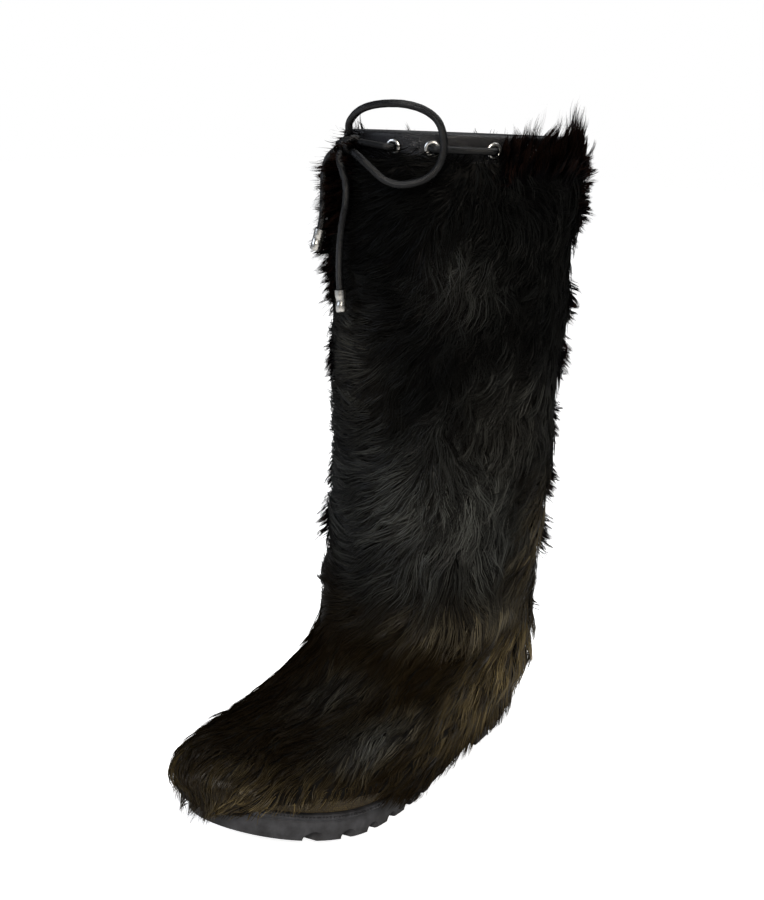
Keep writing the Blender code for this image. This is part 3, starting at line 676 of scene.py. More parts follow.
# %% [markdown]
# ## Turned metal: cord tips and eyelets
#
# A cord tip is a short brass tube, nickel plated and pinched on to the cord, and an eyelet is a
# rolled ring with a tube that goes through the leather. Both are bodies of revolution: a profile
# is spun round an axis. The tips are two pieces with a pinch on two sides only, so they are spun
# in code. The fourteen eyelets repeat, so Geometry Nodes place one ring at every hole.

# %% Nickel plate
# Nickel plate: a bright, slightly warm metal with fine scratches that soften its gleam
nickel, tree, shader = surface("nickel_plate", metallic=1.0, roughness=0.24)
SCRATCH = 0.0006
where = put(tree, "ShaderNodeTexCoord").outputs["Object"]
scratches = put(tree, "ShaderNodeTexNoise", {"Vector": where, "Scale": 1 / SCRATCH, "Detail": 4.0})
worn = put(tree, "ShaderNodeMapRange", {"Value": scratches, "To Min": 0.16, "To Max": 0.42})
tree.links.new(worn.outputs[0], shader.inputs["Roughness"])
dress(tree, shader, (scratches, 0.15, 0.00005), scratches, "a9a8a4", "d9d8d3")


# %% Spin a profile into a closed mesh
METAL_EDGE = math.radians(42)


def spun(name, profile, sides, finish, pinch=None):
    """A profile of (radius, height) turned round Z. pinch(angle, height) scales the radius."""
    form = bmesh.new()
    rings = []
    for radius, height in profile:
        if radius == 0.0:
            rings.append([form.verts.new((0, 0, height))] * sides)
            continue
        ring = []
        for k in range(sides):
            angle = 2 * math.pi * k / sides
            wide = radius * (pinch(angle, height) if pinch else 1.0)
            ring.append(form.verts.new((wide * math.cos(angle), wide * math.sin(angle), height)))
        rings.append(ring)
    pairs = list(zip(rings, rings[1:]))
    if profile[0][0] and profile[-1][0]:
        pairs.append((rings[-1], rings[0]))
    for a, b in pairs:
        for k in range(sides):
            n = (k + 1) % sides
            corners = list(dict.fromkeys((a[k], a[n], b[n], b[k])))
            form.faces.new(corners).smooth = True
    bmesh.ops.recalc_face_normals(form, faces=form.faces)
    mesh = mesh_of(form, name, finish)
    mesh.set_sharp_from_angle(angle=METAL_EDGE)
    return mesh


# %% Cord tips
TIP_BORE = (CORD / 2 + GAP) / math.cos(math.pi / 8)
TIP_OUTER = TIP_BORE + AGLET_WALL
TIP_LIP = 0.0003
TIP_SIDES = 36
PINCH_FROM, PINCH_TO = 0.30, 0.66
PINCH_EASE, PINCH_DEPTH, PINCH_WAIST = 0.07, 0.17, 0.985
TIP_PROFILE = (
    (0.0, AGLET_LENGTH),
    (TIP_OUTER * 0.76, AGLET_LENGTH),
    (TIP_OUTER * 0.93, AGLET_LENGTH - TIP_LIP),
    (TIP_OUTER, AGLET_LENGTH * 0.94),
    (TIP_OUTER, AGLET_LENGTH * 0.70),
    *((TIP_OUTER * PINCH_WAIST, AGLET_LENGTH * s) for s in (PINCH_TO, 0.56, 0.48, 0.40, PINCH_FROM)),
    (TIP_OUTER, AGLET_LENGTH * 0.26),
    (TIP_OUTER, TIP_LIP),
    (TIP_OUTER - TIP_LIP, 0.0),
    (TIP_BORE, 0.0),
    (TIP_BORE, AGLET_MOUTH),
    (0.0, AGLET_MOUTH),
)


def pinched(angle, height):
    share = height / AGLET_LENGTH
    inside = ease((share - PINCH_FROM) / PINCH_EASE) * ease((PINCH_TO - share) / PINCH_EASE)
    return 1 - PINCH_DEPTH * inside * abs(math.cos(angle)) ** 1.5


for side_name, path in (("front", front_path), ("side", side_path)):
    direction = (path[-1] - path[-6]).normalized()
    mesh = spun(f"cord_tip_{side_name}", TIP_PROFILE, TIP_SIDES, nickel, pinched)
    start = path[-1] - direction * (AGLET_MOUTH - GAP)
    aim = direction.to_track_quat("Z", "Y").to_matrix().to_4x4()
    mesh.transform(Matrix.Translation(start) @ aim)
    tip = add_object(f"cord_tip_{side_name}", mesh)
    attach(tip, "root")
    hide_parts(f"aglet_{side_name}")
    print(tip.name, "from", [round(x, 4) for x in start])


# %% [markdown]
# ## Geometry Nodes trees
#
# A tree is a small machine: its inputs are named sizes, and its output is geometry. The helper
# below makes an empty tree with its inputs, and another runs a tree on a mesh, keeps the result as
# a plain mesh, and throws the modifier away. Instances have to be realized first, because only
# real faces are exported.

# %% Make and run a Geometry Nodes tree
SOCKETS = {
    float: "NodeSocketFloat",
    int: "NodeSocketInt",
    "object": "NodeSocketObject",
    "material": "NodeSocketMaterial",
}


def new_tree(name, inputs):
    """A Geometry Nodes tree with a geometry input, the named inputs, and a geometry output."""
    made = bpy.data.node_groups.new(name, "GeometryNodeTree")
    made.interface.new_socket("Geometry", in_out="INPUT", socket_type="NodeSocketGeometry")
    for socket_name, kind in inputs.items():
        made.interface.new_socket(socket_name, in_out="INPUT", socket_type=SOCKETS[kind])
    made.interface.new_socket("Geometry", in_out="OUTPUT", socket_type="NodeSocketGeometry")
    return made, made.nodes.new("NodeGroupInput"), made.nodes.new("NodeGroupOutput")


def run_tree(made, name, mesh, values, keep=()):
    """Runs a tree on a mesh and returns a new object that holds the result as a plain mesh."""
    host = add_object(name + "_host", mesh)
    modifier = host.modifiers.new("nodes", "NODES")
    modifier.node_group = made
    sockets = {s.name: s.identifier for s in made.interface.items_tree if s.in_out == "INPUT"}
    for key, value in values.items():
        modifier[sockets[key]] = value
    evaluated = host.evaluated_get(bpy.context.evaluated_depsgraph_get())
    result = bpy.data.meshes.new_from_object(evaluated)
    host.modifiers.clear()
    bpy.data.objects.remove(host, do_unlink=True)
    result.name = name
    for attribute in list(result.attributes):
        built_in = attribute.name == "position" or attribute.name.startswith(".")
        if attribute.domain == "POINT" and not built_in and attribute.name not in keep:
            result.attributes.remove(attribute)
    piece = add_object(name, result)
    triangles = sum(len(face.vertices) - 2 for face in result.polygons)
    print(name, triangles, "triangles")
    return piece


# %% Place an object at marked points
place_tree, given, result = new_tree("place_on_points", {"Piece": "object", "Finish": "material"})
piece_info = put(place_tree, "GeometryNodeObjectInfo", {"Object": given.outputs["Piece"]})
facing, heading = (
    put(place_tree, "GeometryNodeInputNamedAttribute", {"Name": title}, data_type="FLOAT_VECTOR")
    for title in ("facing", "heading")
)
turned_out = put(place_tree, "FunctionNodeAlignRotationToVector", {"Vector": facing}, axis="Z")
turned_on = put(
    place_tree,
    "FunctionNodeAlignRotationToVector",
    {"Rotation": turned_out, "Vector": heading},
    axis="X",
    pivot_axis="Z",
)
points = put(place_tree, "GeometryNodeMeshToPoints", {"Mesh": given.outputs["Geometry"]})
copies = put(
    place_tree,
    "GeometryNodeInstanceOnPoints",
    {"Points": points, "Instance": piece_info.outputs["Geometry"], "Rotation": turned_on},
)
real = put(place_tree, "GeometryNodeRealizeInstances", {"Geometry": copies})
worn_finish = {"Geometry": real, "Material": given.outputs["Finish"]}
finished = put(place_tree, "GeometryNodeSetMaterial", worn_finish)
place_tree.links.new(finished.outputs[0], result.inputs[0])


def marked_points(name, rows):
    """A mesh of loose points, each with the way that it faces and heads."""
    mesh = bpy.data.meshes.new(name)
    mesh.from_pydata([row[0] for row in rows], [], [])
    for title, column in (("facing", 1), ("heading", 2)):
        attribute = mesh.attributes.new(title, "FLOAT_VECTOR", "POINT")
        attribute.data.foreach_set("vector", [x for row in rows for x in row[column]])
    return mesh


def repeat_piece(name, mesh, rows, finish):
    """Copies of a small mesh at marked points, as one piece."""
    pattern = add_object(name + "_pattern", mesh)
    points = marked_points(name + "_points", rows)
    made = run_tree(place_tree, name, points, {"Piece": pattern, "Finish": finish})
    bpy.data.objects.remove(pattern, do_unlink=True)
    return made


# %% Eyelets
tube_radius = EYELET_BORE + EYELET_TUBE
below = HIDE_WALL + 2 * GAP + 2 * CASING_WALL
ring_mid = (EYELET_BORE + EYELET_FLANGE) / 2
EYELET_PROFILE = (
    (EYELET_BORE, FLANGE_THICK * 0.55),
    (mix(EYELET_BORE, ring_mid, 0.35), FLANGE_THICK * 0.92),
    (ring_mid, FLANGE_THICK),
    (mix(ring_mid, EYELET_FLANGE, 0.65), FLANGE_THICK * 0.80),
    (EYELET_FLANGE, FLANGE_THICK * 0.35),
    (EYELET_FLANGE, 0.0),
    (tube_radius, 0.0),
    (tube_radius, -below),
    (tube_radius * 1.28, -below - 0.00035),
    (tube_radius * 1.05, -below - 0.0007),
    (EYELET_BORE, -below - 0.0004),
)
EYELET_SIDES = 28
ring = spun("eyelet_ring", EYELET_PROFILE, EYELET_SIDES, nickel)
eyelet_level = level_down(EYELET_DROP)
rows = []
for turn in eyelet_turns():
    seat = off_skin(turn, eyelet_level, 2 * GAP + CASING_WALL)
    rows.append((seat, outward(turn, eyelet_level), UP))
eyelets = repeat_piece("eyelets", ring, rows, nickel)
eyelets.data.set_sharp_from_angle(angle=METAL_EDGE)
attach(eyelets, "root")
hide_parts(*[f"eyelet_{number:02d}" for number in range(1, EYELET_COUNT + 1)])

# %% [markdown]
# ## Bands round the boot
#
# The casing, rand, hide and the hair's felted base are all bands: the same cross-section, swept
# round the boot and closed on itself. The CAD uses 28 corners round it, and 112 to 168 here make
# the curves smooth.

# %% Sweep a band
AROUND = 168
FOLD_EDGE = math.radians(50)
UV_STEP = 0.002


def band(name, section, finishes, around=AROUND, inner_from=None):
    """A closed band. section(turn) lists its (level, out) corners in order round the band.
    Corners from inner_from on get the second finish."""
    form = bmesh.new()
    uv = form.loops.layers.uv.new("UVMap")
    rings, lengths = [], []
    for i in range(around):
        places = [off_skin(i / around, level, out) for level, out in section(i / around)]
        rings.append([form.verts.new(p) for p in places])
    width = len(rings[0])
    reach = 0.0
    for i in range(around):
        a, b = rings[i], rings[(i + 1) % around]
        span = (b[0].co - a[0].co).length
        for j in range(width):
            k = (j + 1) % width
            face = form.faces.new((a[j], b[j], b[k], a[k]))
            face.smooth = True
            if inner_from is not None and j >= inner_from:
                face.material_index = 1
            corners = ((reach, j), (reach + span, j), (reach + span, j + 1), (reach, j + 1))
            for loop, (along, up) in zip(face.loops, corners):
                loop[uv].uv = (along, up * UV_STEP)
        reach += span
    bmesh.ops.recalc_face_normals(form, faces=form.faces)
    mesh = mesh_of(form, name, *finishes)
    mesh.set_sharp_from_angle(angle=FOLD_EDGE)
    return add_object(name, mesh)


# %% [markdown]
# ## Leather
#
# The collar's casing is black waxed leather, folded over the top edge. The rand is oiled leather
# with a brown cast. Leather's grain is a net of cells about a millimetre across with fine creases
# between them, which Voronoi distances draw well, and low noise makes it slightly uneven.


# %% Leather finish
def leather(name, dark, light, grain, gloss, shine):
    """Grained leather. grain is the size of a cell, gloss its roughness, shine its specular level."""
    made, tree, shader = surface(name, ior=1.5, roughness=gloss, specular_ior_level=shine)
    where = put(tree, "ShaderNodeTexCoord").outputs["Object"]
    cells = put(
        tree,
        "ShaderNodeTexVoronoi",
        {"Vector": where, "Scale": 1 / grain, "Randomness": 0.9},
        feature="DISTANCE_TO_EDGE",
    )
    pebbles = put(tree, "ShaderNodeMapRange", {"Value": cells, "From Max": 0.18})
    patches = put(tree, "ShaderNodeTexNoise", {"Vector": where, "Scale": 1 / (12 * grain), "Detail": 5.0})
    height = put(tree, "ShaderNodeMath", {0: pebbles, 1: patches}, operation="ADD")
    tone = put(tree, "ShaderNodeMath", {0: patches, 1: pebbles}, operation="MULTIPLY")
    dress(tree, shader, (height, 0.45, grain * 0.3), tone, dark, light, 0.2, 0.65)
    span = {"Value": patches, "To Min": gloss - 0.08, "To Max": gloss + 0.12}
    uneven = put(tree, "ShaderNodeMapRange", span)
    tree.links.new(uneven.outputs[0], shader.inputs["Roughness"])
    return made


waxed_leather = leather("waxed_leather_black", "08080a", "17171b", 0.0011, 0.30, 0.32)
oiled_leather = leather("oiled_leather_brown", "332b20", "54492f", 0.0014, 0.55, 0.22)
hide_leather = leather("hide_flesh_side", "1c1814", "2a251f", 0.0016, 0.8, 0.22)

# %% Collar casing
# Rows of the casing's two faces, as drops below the collar's edge
OUTER_DROPS = (CASING_HEIGHT, 0.020, 0.015, 0.011, EYELET_DROP, 0.0040, 0.0015)
INNER_DROPS = (0.004, EYELET_DROP, 0.011, 0.018, CASING_HEIGHT)
FOLD_STEPS = 6
low = level_down(CASING_HEIGHT)
fold_front = GAP + CASING_WALL
fold_rear = -(HIDE_WALL + GAP + CASING_WALL)


def casing_section(turn):
    """The folded strip, outside, over the rounded fold, inside and back up between."""
    outside = [(level_down(drop), fold_front) for drop in OUTER_DROPS]
    fold = []
    middle, half = (fold_front + fold_rear) / 2, (fold_front - fold_rear) / 2
    for k in range(FOLD_STEPS + 1):
        angle = math.pi * k / FOLD_STEPS
        rise = (GAP + CASING_WALL) * math.sin(angle)
        fold.append((level_down(-rise), middle + half * math.cos(angle)))
    inside = [(level_down(drop), fold_rear) for drop in INNER_DROPS]
    slot_top, slot_rear = level_down(-GAP), -(HIDE_WALL + GAP)
    slot = [(low, slot_rear), (slot_top, slot_rear), (slot_top, GAP), (low, GAP)]
    return outside + fold + inside + slot


casing = band("collar_fold", casing_section, [waxed_leather])

# %% Punch the eyelet holes
HOLE_SIDES = 20
PUNCH_LENGTH = 0.02
holes = bmesh.new()
for turn in eyelet_turns():
    aim = outward(turn, eyelet_level).to_track_quat("Z", "Y").to_matrix().to_4x4()
    centre = Matrix.Translation(off_skin(turn, eyelet_level, -HIDE_WALL / 2))
    radius = EYELET_BORE + EYELET_TUBE + GAP
    bmesh.ops.create_cone(
        holes,
        cap_ends=True,
        segments=HOLE_SIDES,
        radius1=radius,
        radius2=radius,
        depth=PUNCH_LENGTH,
        matrix=centre @ aim,
    )
punch = add_object("punch", mesh_of(holes, "punch"))


def cut_with(piece, tool):
    """Cuts a tool out of a piece and keeps the result as its plain mesh."""
    cut = piece.modifiers.new("cut", "BOOLEAN")
    cut.object, cut.solver, cut.operation = tool, "EXACT", "DIFFERENCE"
    evaluated = piece.evaluated_get(bpy.context.evaluated_depsgraph_get())
    result = bpy.data.meshes.new_from_object(evaluated)
    piece.modifiers.clear()
    piece.data = result
    return piece


cut_with(casing, punch)
casing.data.set_sharp_from_angle(angle=FOLD_EDGE)
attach(casing, "root")
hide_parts("collar_casing")
print("casing", len(casing.data.polygons), "faces")

# %% [markdown]
# ## The hide and its napped lining
#
# Inside the collar one looks down on a short dark nap. The hide is a thin wall whose outer face is
# hidden by hair, so both faces are one band with two finishes.

# %% Napped lining
# Brushed cotton nap: soft, matt, with a faint light edge where the fibres stand up
nap, tree, shader = surface("brushed_cotton_nap", roughness=0.95, specular_ior_level=0.2, sheen_weight=0.35)
NAP = 0.0018
where = put(tree, "ShaderNodeTexCoord").outputs["Object"]
tufts = put(
    tree, "ShaderNodeTexNoise", {"Vector": where, "Scale": 1 / NAP, "Detail": 6.0, "Roughness": 0.7}
)
dress(tree, shader, (tufts, 0.8, 0.0009), tufts, "100f10", "2e2c2e", 0.3, 0.7)

# %% Hide wall
HIDE_ROWS = 26
HIDE_AROUND = 112


def hide_section(turn):
    outer = [(2.0 * k / HIDE_ROWS, 0.0) for k in range(HIDE_ROWS + 1)]
    return outer + [(level, -HIDE_WALL) for level, _ in reversed(outer)]


wall = band("hide_wall", hide_section, [hide_leather, nap], HIDE_AROUND, inner_from=HIDE_ROWS)
cut_with(wall, punch)
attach(wall, "root")
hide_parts("upper")
bpy.data.objects.remove(punch, do_unlink=True)
print("hide", len(wall.data.polygons), "faces")

# %% [markdown]
# ## The insole
#
# A felt insole keeps its CAD solid, because its shape is right, and takes a felt finish: tangled
# wool fibres, quite matt, with small flecks.

# %% Wool felt
felt, tree, shader = surface("pressed_wool_felt", roughness=0.95, sheen_weight=0.3, specular_ior_level=0.2)
FIBRE = 0.0012
where = put(tree, "ShaderNodeTexCoord").outputs["Object"]
fibres = put(
    tree,
    "ShaderNodeTexNoise",
    {"Vector": where, "Scale": 1 / FIBRE, "Detail": 8.0, "Distortion": 1.5},
)
dress(tree, shader, (fibres, 0.6, 0.0004), fibres, "26262a", "4a4a4e")
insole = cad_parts["insole"]
insole.data.materials.clear()
insole.data.materials.append(felt)

# %% [markdown]
# ## The outsole
#
# The sole is moulded rubber. It is built like the CAD solid, as level outlines stacked into a
# form, with far more points round it. Slanted rods cut the grooves between the lugs, boxes cut the
# long channels and the arch, and a row of fine ribs along the welt is placed by Geometry Nodes.

# %% Moulded rubber
# Vulcanised rubber: bluish grey-black, semi-matt, with a fine moulded grain and floor dust
rubber, tree, shader = surface("vulcanised_rubber", ior=1.52, roughness=0.62, specular_ior_level=0.30)
GRAIN = 0.0007
SCUFF = 0.014
where = put(tree, "ShaderNodeTexCoord").outputs["Object"]
fine = put(tree, "ShaderNodeTexNoise", {"Vector": where, "Scale": 1 / GRAIN, "Detail": 4.0})
scuffs = put(
    tree, "ShaderNodeTexNoise", {"Vector": where, "Scale": 1 / SCUFF, "Detail": 6.0, "Roughness": 0.6}
)
dress(tree, shader, (fine, 0.35, 0.00012), scuffs, "1c1c1e", "47484c", 0.35, 0.72)
dull = put(tree, "ShaderNodeMapRange", {"Value": scuffs, "To Min": 0.5, "To Max": 0.8})
tree.links.new(dull.outputs[0], shader.inputs["Roughness"])


# %% Outsole form
def sole_ring(grow, height):
    points = []
    for i in range(AROUND):
        x, y = sole_point(i / AROUND, grow)
        points.append((x, y, height(y)))
    return points


def stacked(name, rings, finish):
    """A closed form through level rings, with a cap of cross strips under and over it."""
    form = bmesh.new()
    corners = [form.verts.new(p) for ring in rings for p in ring]
    for r in range(len(rings) - 1):
        for i in range(AROUND):
            k = (i + 1) % AROUND
            quad = (r * AROUND + i, r * AROUND + k, (r + 1) * AROUND + k, (r + 1) * AROUND + i)
            form.faces.new([corners[n] for n in quad])
    for first in (0, (len(rings) - 1) * AROUND):
        for i in range(AROUND // 2):
            strip = dict.fromkeys((i, i + 1, (AROUND - i - 1) % AROUND, (AROUND - i) % AROUND))
            form.faces.new([corners[first + n] for n in strip])
    bmesh.ops.recalc_face_normals(form, faces=form.faces)
    return add_object(name, mesh_of(form, name, finish))


welt_low = WELT_HEIGHT + WELT_PROUD / 2
sole = stacked(
    "rubber_sole",
    [
        sole_ring(-LUG_TAPER, spring),
        sole_ring(-LUG_TAPER * 0.35, lambda y: spring(y) + 0.0006),
        sole_ring(0.0, lambda y: spring(y) + LUG_DEPTH),
        sole_ring(0.0, lambda y: bed(y) - welt_low - 0.0022),
        sole_ring(-0.0005, lambda y: bed(y) - welt_low - 0.0014),
        sole_ring(-0.0005, lambda y: bed(y) - welt_low - 0.0006),
        sole_ring(WELT_PROUD * 0.6, lambda y: bed(y) - WELT_HEIGHT - 0.0003),
        sole_ring(WELT_PROUD, lambda y: bed(y) - WELT_HEIGHT * 0.8),
        sole_ring(WELT_PROUD, lambda y: bed(y) - WELT_HEIGHT * 0.3),
        sole_ring(WELT_PROUD * 0.6, lambda y: bed(y) - 0.0003),
        sole_ring(-0.0008, bed),
    ],
    rubber,
)

# %% Cut the tread
FRONT_NOTCHES, HEEL_NOTCHES = 6, 3
NOTCH_SIDES = 20
LUG_EDGE = math.radians(35)
CHANNEL_SHARE = 0.75
front_rows = [-ARCH_FRONT - NOTCH_PITCH * (k + 1) for k in range(FRONT_NOTCHES)]
heel_rows = [-ARCH_BACK + NOTCH_PITCH * (k + 1) for k in range(HEEL_NOTCHES)]
arch, grooves, channels = bmesh.new(), bmesh.new(), bmesh.new()
size = Matrix.Diagonal((2 * BALL_WIDTH, ARCH_FRONT - ARCH_BACK, 2 * ARCH_RISE, 1))
middle = -(ARCH_FRONT + ARCH_BACK) / 2
bmesh.ops.create_cube(arch, size=1.0, matrix=Matrix.Translation((0, middle, 0)) @ size)
reach = BALL_WIDTH / 2
for y in front_rows + heel_rows:
    for side in (-1, 1):
        direction = Vector((math.cos(NOTCH_SLANT), side * math.sin(NOTCH_SLANT), 0))
        centre = (
            side * (CHANNEL_OUT + reach / 2),
            y + math.sin(NOTCH_SLANT) * reach / 2,
            spring(y) + 0.001,
        )
        aim = direction.to_track_quat("Z", "Y").to_matrix().to_4x4()
        bmesh.ops.create_cone(
            grooves,
            cap_ends=True,
            segments=NOTCH_SIDES,
            radius1=NOTCH_RADIUS,
            radius2=NOTCH_RADIUS,
            depth=reach,
            matrix=Matrix.Translation(centre) @ aim,
        )
for side in (-1, 1):
    for rows in (front_rows, heel_rows):
        middle, long = (rows[0] + rows[-1]) / 2, abs(rows[-1] - rows[0]) + 2 * NOTCH_RADIUS
        size = Matrix.Diagonal((CHANNEL_WIDTH, long, 2 * LUG_DEPTH * CHANNEL_SHARE, 1))
        spot = Matrix.Translation((side * CHANNEL_OUT, middle, 0))
        bmesh.ops.create_cube(channels, size=1.0, matrix=spot @ size)
for title, form in (("arch", arch), ("grooves", grooves), ("channels", channels)):
    knife = add_object(title, mesh_of(form, title))
    cut_with(sole, knife)
    bpy.data.objects.remove(knife, do_unlink=True)
sole.data.shade_smooth()
sole.data.set_sharp_from_angle(angle=LUG_EDGE)
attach(sole, "root")
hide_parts("outsole")
print("sole", len(sole.data.polygons), "faces")

# %% Fine ribs along the welt
RIB_PITCH = 0.0021
RIB_SIZE = (0.0011, 0.0007, 0.0019)
RIB_PATH_STEPS = 600
form = bmesh.new()
bmesh.ops.create_cube(form, size=1.0, matrix=Matrix.Diagonal((*RIB_SIZE, 1)))
ring_points = [
    Vector((*sole_point(i / RIB_PATH_STEPS, WELT_PROUD + 0.0001), 0))
    for i in range(RIB_PATH_STEPS + 1)
]
rows, walked = [], 0.0
for a, b in zip(ring_points, ring_points[1:]):
    walked += (b - a).length
    if walked >= RIB_PITCH:
        walked -= RIB_PITCH
        heading = (b - a).normalized()
        out = heading.cross(UP)
        rows.append((Vector((b.x, b.y, bed(b.y) - WELT_HEIGHT * 0.55)), out, heading))
ribs = repeat_piece("welt_ribs", mesh_of(form, "rib"), rows, rubber)
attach(ribs, "root")


# %% Rand
RAND_STEPS = 8
RAND_FOOT = 0.004


def rand_section(turn):
    top = level_up(RAND_HEIGHT)
    outer = []
    for k in range(RAND_STEPS + 1):
        share = k / RAND_STEPS
        belly = 0.35 * GAP * math.sin(math.pi * share)
        out = RAND_WALL * mix(1.0, 0.9, share**3) + belly
        outer.append((mix(RAND_FOOT, top * 0.93, share), out))
    edge = [(top, RAND_WALL * 0.72), (top, GAP), (top * 0.5, GAP)]
    return [(RAND_FOOT, GAP)] + outer + edge


rand = band("rand_strip", rand_section, [oiled_leather])
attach(rand, "root")
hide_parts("rand")

# %% [markdown]
# ## The hair's base
#
# Long hair never shows its roots one by one. Under it lies a felted mass of short wool, and the
# long hairs lie over that in locks. So the hair is made twice: a closed, lumpy coat that fills most
# of the depth, and thousands of single hairs over it. The coat's soft troughs are listed one by one,
# where the boot bends at the ankle and where the pelts meet.

# %% How deep the coat is
CREASES = (
    # turn in degrees, level, half the length round in degrees, half the width, depth
    (0, 0.88, 70, 0.060, -0.0016),
    (10, 0.80, 60, 0.045, 0.0010),
    (120, 0.74, 45, 0.055, -0.0012),
    (-80, 0.80, 50, 0.055, -0.0012),
    (40, 1.32, 40, 0.050, -0.0010),
    (95, 1.58, 35, 0.045, -0.0012),
    (30, 1.70, 35, 0.040, 0.0009),
    (60, 0.40, 30, 0.030, -0.0009),
    (15, 0.24, 25, 0.020, -0.0008),
)


# Depth at the top edge, and the drops over which the coat thins out towards it
TOP_DEPTH, THIN_BELOW, THIN_OVER = 0.0045, 0.006, 0.016
# Slow swells of the coat, and the lumps of its base, as (waves per metre, height)
SWELL = (24, 0.0042)
LUMPS = ((55, 0.0013), (140, 0.0006))
BASE_SHARE = 0.72
LEAST_BASE = 0.0012


def foot_depth(turn, level):
    """Depth of the foot's hair, deeper round the toe and heel and towards the shaft."""
    toe = TOE_FUR * ease(math.cos(2 * math.pi * turn) * 3 - 2) * ease(1.6 - level / 0.16)
    behind = ease(-math.cos(2 * math.pi * turn) * 2)
    heel = HEEL_FUR * behind * ease(level / 0.2) * ease((0.8 - level) / 0.35)
    return mix(FOOT_FUR + toe, SHAFT_FUR, ease((level - 0.4) / 0.5)) + heel


def hem(turn):
    along = (1 - math.cos(2 * math.pi * turn)) / 2
    return level_up(RAND_HEIGHT * blended(HEM, 1, along))


def floor_out(level):
    """The least distance off the hide, to pass over the rand, sole and casing."""
    if level <= level_up(RAND_HEIGHT) * 1.15:
        return RAND_WALL + WELT_PROUD + 0.0024
    if level >= level_down(CASING_HEIGHT * 1.12):
        return 2.5 * GAP + CASING_WALL
    return 2 * GAP


def coat_depth(turn, level):
    """Depth of the whole coat: hair and felted base."""
    depth = foot_depth(turn, level) if level < FUR_SEAM_SHARE else SHAFT_FUR
    depth += noise.noise(skin(turn, level) * SWELL[0]) * SWELL[1] * ease((level - 0.3) / 0.6)
    drop = (2 - level) * (BOOT_HEIGHT - INSTEP_HEIGHT)
    return mix(depth, TOP_DEPTH, ease((FUR_TOP_DROP + THIN_BELOW - drop) / THIN_OVER))


def creased(turn, level):
    total = 0.0
    for degrees, at, long, wide, depth in CREASES:
        off = abs((turn * 360 - degrees + 180) % 360 - 180) / long
        total += depth * ease(1 - off) * math.exp(-(((level - at) / wide) ** 2))
    return total


def base_out(turn, level):
    """How far off the hide the felted base lies, with its lumps."""
    place = skin(turn, level)
    lumps = sum(noise.noise(place * waves) * height for waves, height in LUMPS)
    wanted = coat_depth(turn, level) * BASE_SHARE + lumps + creased(turn, level)
    return max(wanted, floor_out(level) + LEAST_BASE)


# %% Felted underwool
# Felted goat underwool: nearly black, deep and matt, with wandering felted streaks. Its near-black
# colour is partly the wool's own and partly painted shade, the deep shadow between the long hairs
FELTING = 0.0016
underwool, tree, shader = surface("felted_underwool", roughness=0.85, specular_ior_level=0.12)
where = put(tree, "ShaderNodeTexCoord").outputs["Object"]
felting = put(
    tree, "ShaderNodeTexNoise", {"Vector": where, "Scale": 1 / FELTING, "Detail": 6.0, "Distortion": 2.0}
)
dress(tree, shader, (felting, 0.9, 0.0012), felting, "050504", "141210")


# %% The two felted coats
COAT_AROUND = 126
LEAST_COAT = 0.0008


def coat(name, low_edge, high_edge, rows):
    """A closed coat between two edges. Its inner face passes over the rand and casing."""

    def section(turn):
        bottom, top = low_edge(turn), high_edge(turn)
        levels = [mix(bottom, top, k / rows) for k in range(rows + 1)]
        outer = [(level, base_out(turn, level)) for level in levels]
        inner = []
        for level in levels[::-4]:
            inner.append((level, min(floor_out(level), base_out(turn, level) - LEAST_COAT)))
        return outer + inner

    return band(name, section, [underwool], COAT_AROUND)


seam_gap = level_up(GAP)
foot_coat = coat("underwool_foot", hem, lambda turn: FUR_SEAM_SHARE - seam_gap, 36)
fur_top = level_down(FUR_TOP_DROP)
shaft_coat = coat("underwool_shaft", lambda turn: FUR_SEAM_SHARE + seam_gap, lambda turn: fur_top, 48)
for piece, node in ((foot_coat, "fur_foot"), (shaft_coat, "fur_shaft")):
    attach(piece, "root")
    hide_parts(node)
    print(piece.name, len(piece.data.polygons), "faces")

# %% [markdown]
# ## Which way the hair lies
#
# A pelt's hair has a direction everywhere, as if combed. On the front of the shaft it sweeps round
# towards the inner side, on the outer side it falls in loose curls, at the back and heel it hangs,
# and on the foot it runs to the toe. A guide surface stores that direction and the hair's length,
# curl and lift at each of its points, and the hairs read them where they grow.

# %% Guide surface
SHAFT_HAIR, FOOT_HAIR = 0.026, 0.018
GUIDE_AROUND, GUIDE_ROWS = 144, 96
GUIDE_LOW, GUIDE_HIGH = -0.19, 2.03


def bump_at(value, centre, half):
    """1 at the centre, easing to 0 at half to each side."""
    return ease(1 - abs(value - centre) / half)


def near_turn(turn, centre, half):
    return bump_at((turn - centre + 0.5) % 1.0 - 0.5, 0.0, half)


def comb_at(turn, level, place, normal):
    """The way that the hair lies, in the surface."""
    round_it = Vector((0, 0, 1)).cross(normal).normalized()
    up = normal.cross(round_it).normalized()
    front = near_turn(turn, 0.95, 0.26)
    swirl = noise.noise(place * 26 + Vector((3.1, 0.7, 5.5)))
    fine_swirl = noise.noise(place * 70 + Vector((8.0, 2.0, 1.0)))
    outer_side = near_turn(turn, 0.28, 0.16)
    shaft_way = mix(mix(-80, -118, outer_side), -176, front)
    shaft_way += (100 * (1 - front) + 38 * front) * swirl + 46 * fine_swirl
    shaft_way = math.radians(shaft_way)
    on_shaft = round_it * math.cos(shaft_way) + up * math.sin(shaft_way)
    back = near_turn(turn, 0.5, 0.30)
    to_toe = Vector((0, -1.0, -0.35)).lerp(Vector((0.0, -0.12, -1.0)), ease(back * 1.5))
    tangle = Vector((noise.noise(place * 32), noise.noise(place * 32 + Vector((9, 9, 9))), 0)) * 0.55
    on_foot = to_toe.normalized() + tangle
    flow = on_foot.normalized().lerp(on_shaft, ease((level - 0.55) / 0.40))
    flow -= normal * flow.dot(normal)
    return flow.normalized()


